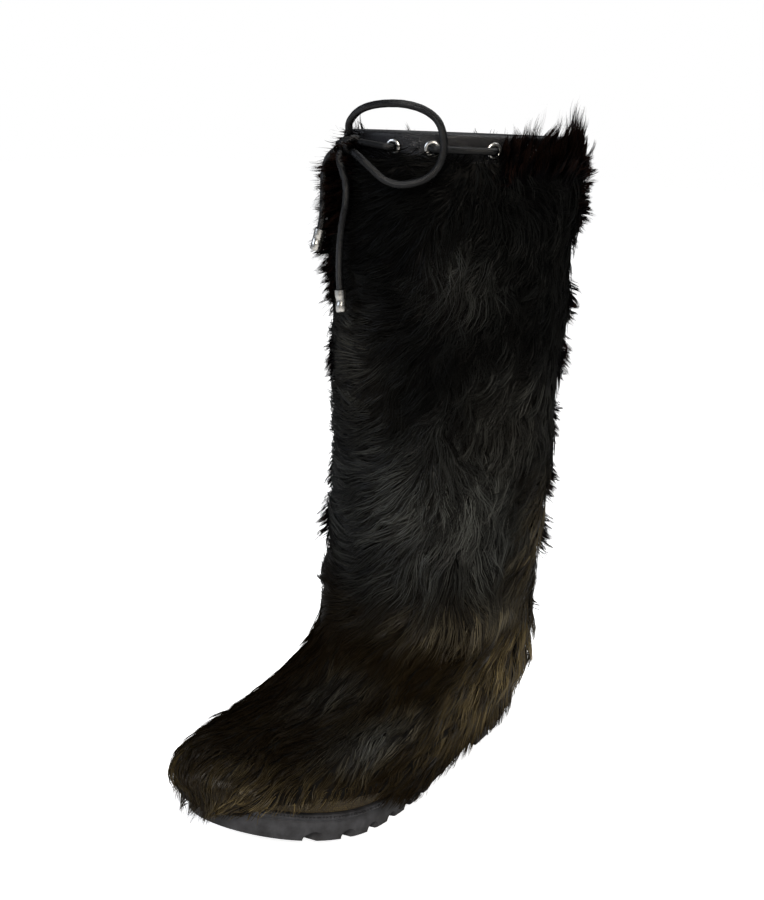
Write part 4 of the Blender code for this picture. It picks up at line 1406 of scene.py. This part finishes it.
def angle_off(turn, degrees):
    """How many degrees a turn is from a place given in degrees."""
    return abs((turn * 360 - degrees + 180) % 360 - 180)


# Where the hair gets a painted sheen, lighter where more light falls on it, or turns browner:
# painted sheen and warmth are shares
PATCHES = (
    # turn in degrees, level, half the turn, half the level, painted sheen, warmth
    (35, 1.20, 75, 0.32, 0.50, 0.10),
    (75, 1.42, 50, 0.22, 0.20, 0.15),
    (-5, 1.50, 36, 0.24, 0.20, 0.20),
    (40, 1.74, 30, 0.12, 0.22, 0.10),
    (70, 0.86, 90, 0.26, 0.50, 0.60),
    (10, 0.44, 35, 0.20, 0.70, 0.30),
    (48, 0.30, 34, 0.13, 0.75, 0.15),
    (0, 0.10, 70, 0.24, 0.85, 0.90),
    (125, 0.35, 70, 0.55, 1.00, 0.85),
    (115, 1.10, 40, 0.30, 0.45, 0.70),
    (215, 0.60, 90, 0.60, 0.60, 0.60),
    (250, 1.40, 80, 0.60, 0.45, 0.15),
)


def patch_at(turn, level):
    """Painted sheen and warmth at a place. The foot's hair is browner than the shaft's."""
    painted_sheen, warmth = 0.0, 0.8 * (1 - ease((level - 0.6) / 0.55))
    for degrees, at, half_turn, half_level, patch_painted_sheen, patch_warmth in PATCHES:
        near = ease(1 - math.hypot(angle_off(turn, degrees) / half_turn, (level - at) / half_level))
        painted_sheen = max(painted_sheen, patch_painted_sheen * near)
        warmth = mix(warmth, patch_warmth, near)
    return painted_sheen, warmth


def build_guide():
    """The guide surface with its attributes, as points and lists."""
    titles = ("comb", "hair_length", "lift", "curl", "painted_sheen", "warmth", "turn", "level", "normal")
    points, values = [], {title: [] for title in titles}
    for r in range(GUIDE_ROWS + 1):
        level = mix(GUIDE_LOW, GUIDE_HIGH, r / GUIDE_ROWS)
        for i in range(GUIDE_AROUND):
            turn = i / GUIDE_AROUND
            out = base_out(turn, level)
            place = off_skin(turn, level, out)
            normal = outward(turn, level)
            points.append(place)
            curly = near_turn(turn, 0.20, 0.24) * ease((level - 1.0) / 0.25) * 0.9 + 0.12
            on_foot = 1 - ease((level - 0.5) / 0.5)
            length = mix(SHAFT_HAIR, FOOT_HAIR, on_foot) * (1 - 0.35 * ease((0.12 - level) / 0.2))
            drop = (2 - level) * (BOOT_HEIGHT - INSTEP_HEIGHT)
            length *= mix(1.0, 0.6, ease((0.035 - drop) / 0.02))
            over_hem = max(0.0, level - hem(turn)) * (INSTEP_HEIGHT - BALL_THICK)
            open_side = near_turn(turn, 0.085, 0.12)
            length = min(length, mix(0.006, 0.0028, open_side) + mix(1.25, 0.85, open_side) * over_hem)
            length += 0.003 * near_turn(turn, 0.97, 0.09) * ease((0.2 - level) / 0.2)
            values["comb"].append(comb_at(turn, level, place, normal))
            values["hair_length"].append(length)
            values["lift"].append(max(0.0012, coat_depth(turn, level) - out + 0.0004))
            values["curl"].append(curly)
            painted_sheen, warmth = patch_at(turn, level)
            values["painted_sheen"].append(painted_sheen)
            values["warmth"].append(warmth)
            values["normal"].append(normal)
            values["turn"].append(turn)
            values["level"].append(level)
    faces = []
    for r in range(GUIDE_ROWS):
        for i in range(GUIDE_AROUND):
            k = (i + 1) % GUIDE_AROUND
            faces.append(
                (
                    r * GUIDE_AROUND + i,
                    r * GUIDE_AROUND + k,
                    (r + 1) * GUIDE_AROUND + k,
                    (r + 1) * GUIDE_AROUND + i,
                )
            )
    return points, faces, values


guide_points, guide_faces, guide_values = build_guide()
print("guide", len(guide_points), "points")


def guide_mesh(name, density, changes=None):
    """The guide as a mesh, with density(turn, level) as one more attribute. changes are other values."""
    here = {**guide_values, **(changes or {})}
    mesh = bpy.data.meshes.new(name)
    mesh.from_pydata(guide_points, [], guide_faces)
    mesh.shade_smooth()
    for title in ("hair_length", "lift", "curl", "painted_sheen", "warmth"):
        mesh.attributes.new(title, "FLOAT", "POINT").data.foreach_set("value", here[title])
    flat = [x for way in here["comb"] for x in way]
    mesh.attributes.new("comb", "FLOAT_VECTOR", "POINT").data.foreach_set("vector", flat)
    share = density
    if callable(density):
        places = zip(guide_values["turn"], guide_values["level"])
        share = [density(turn, level) for turn, level in places]
    mesh.attributes.new("share", "FLOAT", "POINT").data.foreach_set("value", share)
    return mesh


# %% [markdown]
# ## Growing hair with Geometry Nodes
#
# Each hair is a narrow ribbon of five faces that tapers to its tip. The tree scatters roots over
# the guide surface, puts one ribbon on each, and then moves every ribbon's points: along the comb
# direction, pulled towards the middle of its lock, curled or waved, and laid on the guide surface
# at a height that grows from the root. Locks come from Voronoi cells: all roots in a cell share
# its centre and its random colour, so they bend, lift and shade together.

# %% The hair tree
hair_tree, given, result = new_tree(
    "grow_hair",
    {
        "Hairs per square metre": float,
        "Seed": int,
        "Hair width": float,
        "Lock size": float,
        "Lock pull": float,
        "Curl radius": float,
        "Wave size": float,
        "Wave depth": float,
        "Stand": float,
        "Hug": float,
        "Finish": "material",
    },
)


# Values that the guide or a root holds, read wherever a node asks for them
held = {}
for title in ("share", "hair_length", "lift", "curl", "chance", "along", "across"):
    read = put(hair_tree, "GeometryNodeInputNamedAttribute", {"Name": title}, data_type="FLOAT")
    held[title] = read.outputs[0]
for title in ("comb", "root", "grow", "lock_at", "lock_mark"):
    read = put(hair_tree, "GeometryNodeInputNamedAttribute", {"Name": title}, data_type="FLOAT_VECTOR")
    held[title] = read.outputs[0]
density = put(
    hair_tree,
    "ShaderNodeMath",
    {0: held["share"], 1: given.outputs["Hairs per square metre"]},
    operation="MULTIPLY",
)
scatter = put(
    hair_tree,
    "GeometryNodeDistributePointsOnFaces",
    {"Mesh": given.outputs["Geometry"], "Density": density, "Seed": given.outputs["Seed"]},
)
place = put(hair_tree, "GeometryNodeInputPosition")
chance = put(hair_tree, "FunctionNodeRandomValue", {"Seed": given.outputs["Seed"]}, data_type="FLOAT")
lock_scale = put(hair_tree, "ShaderNodeMath", {0: 1.0, 1: given.outputs["Lock size"]}, operation="DIVIDE")
locks = put(hair_tree, "ShaderNodeTexVoronoi", {"Vector": place, "Scale": lock_scale})
roots = scatter
for title, value, kind in (
    ("root", place, "FLOAT_VECTOR"),
    ("grow", scatter.outputs["Normal"], "FLOAT_VECTOR"),
    ("chance", chance.outputs[1], "FLOAT"),
    ("lock_at", locks.outputs["Position"], "FLOAT_VECTOR"),
    ("lock_mark", locks.outputs["Color"], "FLOAT_VECTOR"),
):
    kept = {"Geometry": roots, "Name": title, "Value": value}
    roots = put(hair_tree, "GeometryNodeStoreNamedAttribute", kept, data_type=kind, domain="POINT")
strip_size = {"Size X": 1.0, "Size Y": 1.0, "Vertices X": 6, "Vertices Y": 2}
strip = put(hair_tree, "GeometryNodeMeshGrid", strip_size)
strip_place = put(hair_tree, "ShaderNodeSeparateXYZ", {0: put(hair_tree, "GeometryNodeInputPosition")})
from_root = put(hair_tree, "ShaderNodeMath", {0: strip_place.outputs[0], 1: 0.5}, operation="ADD")
for title, value in (("along", from_root), ("across", strip_place.outputs[1])):
    kept = {"Geometry": strip, "Name": title, "Value": value}
    strip = put(hair_tree, "GeometryNodeStoreNamedAttribute", kept, data_type="FLOAT", domain="POINT")
hairs = put(hair_tree, "GeometryNodeInstanceOnPoints", {"Points": roots, "Instance": strip})
hairs = put(hair_tree, "GeometryNodeRealizeInstances", {"Geometry": hairs})

# %% Where a point of a hair goes
root, grow, comb = held["root"], held["grow"], held["comb"]
lock_at, lock_mark = held["lock_at"], held["lock_mark"]
along, across, luck = held["along"], held["across"], held["chance"]
curl, lift, long = held["curl"], held["lift"], held["hair_length"]
mark = put(hair_tree, "ShaderNodeSeparateXYZ", {0: lock_mark})
sideways = put(hair_tree, "ShaderNodeVectorMath", {0: grow, 1: comb}, operation="CROSS_PRODUCT")
spread = put(hair_tree, "ShaderNodeMapRange", {"Value": luck, "To Min": 0.6, "To Max": 1.25})
reach = put(hair_tree, "ShaderNodeMath", {0: long, 1: spread}, operation="MULTIPLY")
to_lock = put(hair_tree, "ShaderNodeVectorMath", {0: lock_at, 1: root}, operation="SUBTRACT")
full_curl = given.outputs["Curl radius"]
curl_size = put(hair_tree, "ShaderNodeMath", {0: curl, 1: full_curl}, operation="MULTIPLY")
CURL_TURNS = 0.9


def course_point(t):
    """The hair's course before it is laid on the coat, at a share t of its length."""
    far = put(hair_tree, "ShaderNodeMath", {0: reach, 1: t}, operation="MULTIPLY")
    straight = put(hair_tree, "ShaderNodeVectorMath", {0: comb, "Scale": far}, operation="SCALE")
    straight = put(hair_tree, "ShaderNodeVectorMath", {0: root, 1: straight}, operation="ADD")
    pull = put(hair_tree, "ShaderNodeMath", {0: t, 1: given.outputs["Lock pull"]}, operation="MULTIPLY")
    pulled = put(hair_tree, "ShaderNodeVectorMath", {0: to_lock, "Scale": pull}, operation="SCALE")
    point = put(hair_tree, "ShaderNodeVectorMath", {0: straight, 1: pulled}, operation="ADD")
    start = put(hair_tree, "ShaderNodeMath", {0: mark.outputs[0], 1: 2 * math.pi}, operation="MULTIPLY")
    curled = {0: t, 1: 2 * math.pi * CURL_TURNS, 2: start}
    angle = put(hair_tree, "ShaderNodeMath", curled, operation="MULTIPLY_ADD")
    size = put(hair_tree, "ShaderNodeMath", {0: curl_size, 1: t}, operation="MULTIPLY")
    for way, turning in ((sideways, "COSINE"), (comb, "SINE")):
        swing = put(hair_tree, "ShaderNodeMath", {0: angle}, operation=turning)
        swing = put(hair_tree, "ShaderNodeMath", {0: swing, 1: size}, operation="MULTIPLY")
        moved = put(hair_tree, "ShaderNodeVectorMath", {0: way, "Scale": swing}, operation="SCALE")
        point = put(hair_tree, "ShaderNodeVectorMath", {0: point, 1: moved}, operation="ADD")
    wave_size = given.outputs["Wave size"]
    wave_scale = put(hair_tree, "ShaderNodeMath", {0: 1.0, 1: wave_size}, operation="DIVIDE")
    waves = put(hair_tree, "ShaderNodeTexNoise", {"Vector": straight, "Scale": wave_scale, "Detail": 1.0})
    from_middle = {0: waves.outputs["Color"], 1: (0.5, 0.5, 0.5)}
    centred = put(hair_tree, "ShaderNodeVectorMath", from_middle, operation="SUBTRACT")
    depth = put(hair_tree, "ShaderNodeMath", {0: t, 1: given.outputs["Wave depth"]}, operation="MULTIPLY")
    waved = put(hair_tree, "ShaderNodeVectorMath", {0: centred, "Scale": depth}, operation="SCALE")
    return put(hair_tree, "ShaderNodeVectorMath", {0: point, 1: waved}, operation="ADD")


here = course_point(along)
ahead = course_point(put(hair_tree, "ShaderNodeMath", {0: along, 1: 0.06}, operation="ADD"))
nearest = put(
    hair_tree,
    "GeometryNodeProximity",
    {0: given.outputs["Geometry"], "Sample Position": here},
    target_element="FACES",
)
true_normal = put(hair_tree, "GeometryNodeInputNormal")
normal = put(
    hair_tree,
    "GeometryNodeSampleNearestSurface",
    {"Mesh": given.outputs["Geometry"], "Value": true_normal, "Sample Position": here},
    data_type="FLOAT_VECTOR",
)
left = put(hair_tree, "ShaderNodeMath", {0: 1.0, 1: along}, operation="SUBTRACT")
rise = put(hair_tree, "ShaderNodeMath", {0: left, 1: 2.2}, operation="POWER")
rise = put(hair_tree, "ShaderNodeMath", {0: 1.0, 1: rise}, operation="SUBTRACT")
lock_lift = put(hair_tree, "ShaderNodeMapRange", {"Value": mark.outputs[2], "To Min": 0.35, "To Max": 1.3})
own_lift = put(hair_tree, "ShaderNodeMapRange", {"Value": luck, "To Min": 0.65, "To Max": 1.1})
height = put(hair_tree, "ShaderNodeMath", {0: rise, 1: lift}, operation="MULTIPLY")
for factor in (lock_lift, own_lift, given.outputs["Stand"]):
    height = put(hair_tree, "ShaderNodeMath", {0: height, 1: factor}, operation="MULTIPLY")
raised = put(hair_tree, "ShaderNodeVectorMath", {0: normal, "Scale": height}, operation="SCALE")
laid = put(hair_tree, "ShaderNodeVectorMath", {0: nearest, 1: raised}, operation="ADD")
free_raised = put(hair_tree, "ShaderNodeVectorMath", {0: grow, "Scale": height}, operation="SCALE")
free = put(hair_tree, "ShaderNodeVectorMath", {0: here, 1: free_raised}, operation="ADD")
centre = put(
    hair_tree,
    "ShaderNodeMix",
    {0: given.outputs["Hug"], 4: free, 5: laid},
    data_type="VECTOR",
)
way = put(hair_tree, "ShaderNodeVectorMath", {0: ahead, 1: here}, operation="SUBTRACT")
wide = put(hair_tree, "ShaderNodeVectorMath", {0: normal, 1: way}, operation="CROSS_PRODUCT")
wide = put(hair_tree, "ShaderNodeVectorMath", {0: wide}, operation="NORMALIZE")
twist = put(hair_tree, "ShaderNodeMapRange", {"Value": luck, "To Min": -1.0, "To Max": 1.0})
flat_share = put(hair_tree, "ShaderNodeMath", {0: twist}, operation="COSINE")
tilt_share = put(hair_tree, "ShaderNodeMath", {0: twist}, operation="SINE")
flat_part = put(hair_tree, "ShaderNodeVectorMath", {0: wide, "Scale": flat_share}, operation="SCALE")
tilt_part = put(hair_tree, "ShaderNodeVectorMath", {0: normal, "Scale": tilt_share}, operation="SCALE")
edge = put(hair_tree, "ShaderNodeVectorMath", {0: flat_part, 1: tilt_part}, operation="ADD")
thin = put(hair_tree, "ShaderNodeMath", {0: along, 1: 2.0}, operation="POWER")
thin = put(hair_tree, "ShaderNodeMath", {0: thin, 1: -0.93, 2: 1.0}, operation="MULTIPLY_ADD")
thick = put(hair_tree, "ShaderNodeMath", {0: thin, 1: given.outputs["Hair width"]}, operation="MULTIPLY")
thick = put(hair_tree, "ShaderNodeMath", {0: thick, 1: across}, operation="MULTIPLY")
out_to_edge = put(hair_tree, "ShaderNodeVectorMath", {0: edge, "Scale": thick}, operation="SCALE")
final = put(hair_tree, "ShaderNodeVectorMath", {0: centre.outputs[1], 1: out_to_edge}, operation="ADD")
moved_hairs = put(hair_tree, "GeometryNodeSetPosition", {"Geometry": hairs, "Position": final})
smooth = put(hair_tree, "GeometryNodeSetShadeSmooth", {0: moved_hairs})
own_tint = put(hair_tree, "ShaderNodeMath", {0: luck, 1: 3.5}, operation="POWER")
lock_tint = put(hair_tree, "ShaderNodeMapRange", {"Value": mark.outputs[1], "To Min": 0.15, "To Max": 1.0})
tint = put(hair_tree, "ShaderNodeMath", {0: own_tint, 1: lock_tint}, operation="MULTIPLY")
kept = {"Geometry": smooth, "Name": "tint", "Value": tint}
tinted = put(hair_tree, "GeometryNodeStoreNamedAttribute", kept, data_type="FLOAT", domain="POINT")
worn_finish = {"Geometry": tinted, "Material": given.outputs["Finish"]}
finished = put(hair_tree, "GeometryNodeSetMaterial", worn_finish)
hair_tree.links.new(finished.outputs[0], result.inputs[0])

# %% [markdown]
# ### The hair's finish
#
# Goat hair is a smooth fibre of keratin, about as shiny as ours. It is black to the eye, bluish
# where it catches the sky and red-brown where light comes through its thin tips. Both are painted
# into its colour here: a pale painted sheen, bluish on black hair, and painted red-brown tips. Four
# attributes say where a point lies along its hair, how dark its lock is, how much painted sheen it
# has there and how brown the coat is there.


# %% Goat hair
def goat_hair(name, dark, light, tip, tip_share, gloss):
    """Long goat hair: dark locks, the pale painted sheen and thin ends, each as a black hair's and a
    brown hair's. The thin ends' red-brown is painted light coming through them.
    """
    made, tree, shader = surface(name, ior=1.5, roughness=gloss)
    along, tint, painted_sheen, warmth = (
        put(tree, "ShaderNodeAttribute", attribute_name=title).outputs["Fac"]
        for title in ("along", "tint", "painted_sheen", "warmth")
    )
    # The painted sheen raises the specular level and mixes in the pale colour: a painted highlight
    glossy = put(tree, "ShaderNodeMapRange", {"Value": painted_sheen, "To Min": 0.02, "To Max": 0.22})
    tree.links.new(glossy.outputs[0], shader.inputs["Specular IOR Level"])
    lit = put(tree, "ShaderNodeMapRange", {"Value": painted_sheen, "To Min": 0.035, "To Max": 1.0})
    bright = put(tree, "ShaderNodeMath", {0: tint, 1: lit}, operation="MULTIPLY")
    deep, pale, thin = (
        put(
            tree, "ShaderNodeMix", {0: warmth, 6: colour(black), 7: colour(brown)}, data_type="RGBA"
        ).outputs[2]
        for black, brown in (dark, light, tip)
    )
    base = put(tree, "ShaderNodeMix", {0: bright, 6: deep, 7: pale}, data_type="RGBA")
    # Thin ends turn towards the tip colour: red-brown, painted light coming through the thin tips
    ends = put(tree, "ShaderNodeMapRange", {"Value": along, "From Min": 0.55, "To Max": tip_share})
    mixed = put(tree, "ShaderNodeMix", {0: ends, 6: base.outputs[2], 7: thin}, data_type="RGBA")
    tree.links.new(mixed.outputs[2], shader.inputs["Base Color"])
    return made


# Colour pairs (black hair, brown hair): dark, the pale colour of the painted sheen, the thin ends
long_hair = goat_hair(
    "goat_hair_black", ("030303", "150f06"), ("8a8f8c", "94804e"), ("0e0c09", "2c2011"), 0.32, 0.37
)
# Upright tufts: darker hair whose red-brown tips are painted light coming through them
tuft_hair = goat_hair(
    "goat_hair_painted_backlit_tips", ("030203", "040302"), ("2a2426", "2e221a"), ("2a1a13", "2a1a13"), 0.60, 0.45
)

# %% Grow the hair


def between(value, low, high, soft):
    return ease((value - low) / soft + 0.5) * ease((high - value) / soft + 0.5)


def seen_side(turn):
    """1 on the half of the boot that faces the photograph's camera."""
    return ease(2.2 * math.cos(2 * math.pi * (turn - 0.11)) + 0.7)


def shaft_low(turn, level):
    return between(level, 0.86, 1.42, 0.04) * seen_side(turn)


def shaft_high(turn, level):
    return between(level, 1.42, 1.965, 0.04) * seen_side(turn)


def shaft_far(turn, level):
    return between(level, 0.86, 1.965, 0.04) * (1 - seen_side(turn))


def above_hem(turn, level):
    return ease((level - hem(turn)) / 0.02 + 0.6)


def foot_near(turn, level):
    return above_hem(turn, level) * ease((0.93 - level) / 0.04) * seen_side(turn)


def foot_far(turn, level):
    return above_hem(turn, level) * ease((0.93 - level) / 0.04) * (1 - seen_side(turn))


# Upright tufts at the hair's top edge, as in the CAD source. One on the far side shows by the knot
TOP_TUFTS = (
    # turn in degrees, length in metres, lean
    (59, 0.015, 0.38),
    (66, 0.018, 0.38),
    (73, 0.021, 0.38),
    (80, 0.023, 0.38),
    (87, 0.021, 0.36),
    (95, 0.023, 0.30),
    (103, 0.027, -0.02),
    (112, 0.024, -0.04),
    (124, 0.020, 0.05),
    (140, 0.018, 0.40),
    (170, 0.012, 0.50),
    (200, 0.011, 0.50),
    (236, 0.011, 0.50),
    (254, 0.010, 0.50),
    (272, 0.019, 0.05),
)
# Locks that stand off the shaft
SHAFT_LOCKS = (
    # turn in degrees, level, length in metres, upward lean
    (338, 1.955, 0.012, 0.20),
    (333, 1.930, 0.015, -0.10),
    (339, 1.900, 0.017, -0.20),
    (330, 1.885, 0.016, -0.30),
    (337, 1.860, 0.016, -0.40),
    (328, 1.845, 0.013, -0.40),
    (318, 1.905, 0.009, -0.20),
    (310, 1.860, 0.009, -0.40),
    (320, 1.800, 0.010, -0.40),
    (311, 1.765, 0.012, -0.50),
    (320, 1.730, 0.012, -0.50),
    (309, 1.700, 0.011, -0.60),
    (317, 1.670, 0.010, -0.60),
    (300, 1.640, 0.008, -0.80),
    (312, 1.500, 0.008, -0.80),
    (300, 1.220, 0.010, -0.80),
    (308, 1.120, 0.014, -0.80),
    (112, 1.950, 0.009, 0.70),
    (122, 1.920, 0.008, 0.50),
    (110, 1.880, 0.006, 0.30),
    (120, 1.850, 0.007, -0.20),
    (114, 1.810, 0.004, -0.60),
    (126, 1.640, 0.008, -0.60),
    (116, 1.520, 0.009, -0.60),
    (124, 1.360, 0.008, -0.60),
    (116, 1.220, 0.009, -0.60),
    (124, 1.080, 0.011, -0.60),
    (150, 0.620, 0.010, -0.60),
)


def tuft_values():
    """Comb direction and length of the hair that stands at the top edge, and where it grows."""
    ways, lengths, shares = [], [], []
    for turn, level, normal in zip(guide_values["turn"], guide_values["level"], guide_values["normal"]):
        nearest = min(TOP_TUFTS, key=lambda row: angle_off(turn, row[0]))
        off = angle_off(turn, nearest[0])
        covered = between((turn * 360 + 90) % 360 - 90, 60, 280, 8)
        core = ease(1.3 - off / 5.5)
        drop = (2 - level) * (BOOT_HEIGHT - INSTEP_HEIGHT)
        row_share = between(drop, 0.0105, 0.026, 0.004)
        side_sway = noise.noise(Vector((turn * 40, 0.3, 0.7))) * 0.35
        round_it = Vector((0, 0, 1)).cross(normal)
        way = Vector((0, 0, 1)) + normal * (nearest[2] + 0.05) + round_it * side_sway
        ways.append(way.normalized())
        lengths.append(nearest[1] * mix(0.55, 1.0, core))
        shares.append(row_share * max(core, 0.9 * covered))
    return {"comb": ways, "hair_length": lengths}, shares


def lock_values():
    """Comb direction and length of the locks that stand off the shaft, and where they grow."""
    ways, lengths, shares = [], [], []
    for turn, level, normal in zip(guide_values["turn"], guide_values["level"], guide_values["normal"]):

        def off_row(row):
            return math.hypot(angle_off(turn, row[0]) / 7.5, (level - row[1]) / 0.040)

        nearest = min(SHAFT_LOCKS, key=off_row)
        core = ease(1.3 - off_row(nearest))
        way = normal * 0.8 + Vector((0, 0, nearest[3]))
        ways.append(way.normalized())
        lengths.append(nearest[2])
        shares.append(core)
    return {"comb": ways, "hair_length": lengths}, shares


tuft_changes, tuft_shares = tuft_values()
lock_changes, lock_shares = lock_values()
HAIR_PIECES = (
    # name, where, changes, hairs per square metre, seed, width, lock pull, curl radius, stand, hug, finish
    ("hair_shaft_low", shaft_low, None, 460000, 11, 0.00052, 0.62, 0.0050, 1.0, 1.0, long_hair),
    ("hair_shaft_high", shaft_high, None, 420000, 12, 0.00052, 0.66, 0.0055, 1.0, 1.0, long_hair),
    ("hair_shaft_far", shaft_far, None, 200000, 13, 0.00085, 0.55, 0.0045, 1.0, 1.0, long_hair),
    ("hair_foot_near", foot_near, None, 390000, 14, 0.00052, 0.50, 0.0030, 1.0, 1.0, long_hair),
    ("hair_foot_far", foot_far, None, 290000, 15, 0.00066, 0.50, 0.0030, 1.0, 1.0, long_hair),
    ("hair_top_tufts", tuft_shares, tuft_changes, 2300000, 16, 0.00052, 0.70, 0.0015, 0.4, 0.0, tuft_hair),
    ("hair_standing_locks", lock_shares, lock_changes, 1300000, 17, 0.00085, 0.55, 0.003, 0.3, 0.0, tuft_hair),
)
LOCK_SIZE = 0.0085
WAVE_SIZE, WAVE_DEPTH = 0.014, 0.009
for name, grows, changes, count, seed, width, pull, curl_radius, stand, hug, finish in HAIR_PIECES:
    piece = run_tree(
        hair_tree,
        name,
        guide_mesh(name + "_guide", grows, changes),
        {
            "Hairs per square metre": float(count),
            "Seed": seed,
            "Hair width": width,
            "Lock size": LOCK_SIZE,
            "Lock pull": pull,
            "Curl radius": curl_radius,
            "Wave size": WAVE_SIZE,
            "Wave depth": WAVE_DEPTH,
            "Stand": stand,
            "Hug": hug,
            "Finish": finish,
        },
        keep=("along", "tint", "painted_sheen", "warmth"),
    )
    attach(piece, "root")

# %% [markdown]
# ## Floor and light
#
# The boot stands on a plain pale floor under soft studio light. Floor and surround show white to
# the camera. They light the boot only weakly, because black hair in an even white room would look
# grey. Three large soft lights give the hair its sheen: high in front, on the left, and overhead.

# %% Floor
FLOOR_WHITE = 0.91
floor_finish, tree, shader = surface("pale_floor", roughness=0.9, specular_ior_level=0.1)
shader.inputs["Base Color"].default_value = colour("f4f4f4")
shader.inputs["Emission Color"].default_value = colour("ffffff")
ray = put(tree, "ShaderNodeLightPath")
seen = ray.outputs["Is Camera Ray"]
shown_white = put(tree, "ShaderNodeMath", {0: seen, 1: FLOOR_WHITE}, operation="MULTIPLY")
tree.links.new(shown_white.outputs[0], shader.inputs["Emission Strength"])
form = bmesh.new()
corners = [form.verts.new((x, y, 0)) for x, y in ((-6, -6), (6, -6), (6, 6), (-6, 6))]
form.faces.new(corners)
floor = add_object("floor", mesh_of(form, "floor", floor_finish))
floor.location.z = -0.0005

# %% Surround and lights
ROOM_LIGHT = 0.14
world = bpy.data.worlds.new("studio")
bpy.context.scene.world = world
world.use_nodes = True
tree = world.node_tree
tree.nodes.clear()
shown = put(tree, "ShaderNodeBackground", {"Color": colour("ffffff"), "Strength": 1.0})
lighting = put(tree, "ShaderNodeBackground", {"Color": colour("e8edf5"), "Strength": ROOM_LIGHT})
ray = put(tree, "ShaderNodeLightPath")
chosen = put(tree, "ShaderNodeMixShader", {0: ray.outputs["Is Camera Ray"], 1: lighting, 2: shown})
put(tree, "ShaderNodeOutputWorld", {"Surface": chosen})


def soft_light(name, place, aim, size, power, tone):
    data = bpy.data.lights.new(name, "AREA")
    data.size = size
    data.energy = power
    data.color = colour(tone)[:3]
    light = add_object(name, data)
    light.location = place
    light.rotation_euler = (Vector(aim) - Vector(place)).to_track_quat("-Z", "Y").to_euler()


soft_light("key", (1.1, -1.7, 1.6), (0, -0.05, 0.2), 0.8, 46, "fff6ea")
soft_light("fill", (-1.4, -1.5, 1.2), (0, -0.05, 0.2), 1.0, 18, "e6efff")
soft_light("top", (0.2, 0.6, 2.0), (0, -0.05, 0.1), 1.2, 20, "ffffff")
bpy.context.scene.view_settings.view_transform = "Standard"
bpy.context.scene.view_settings.look = "None"
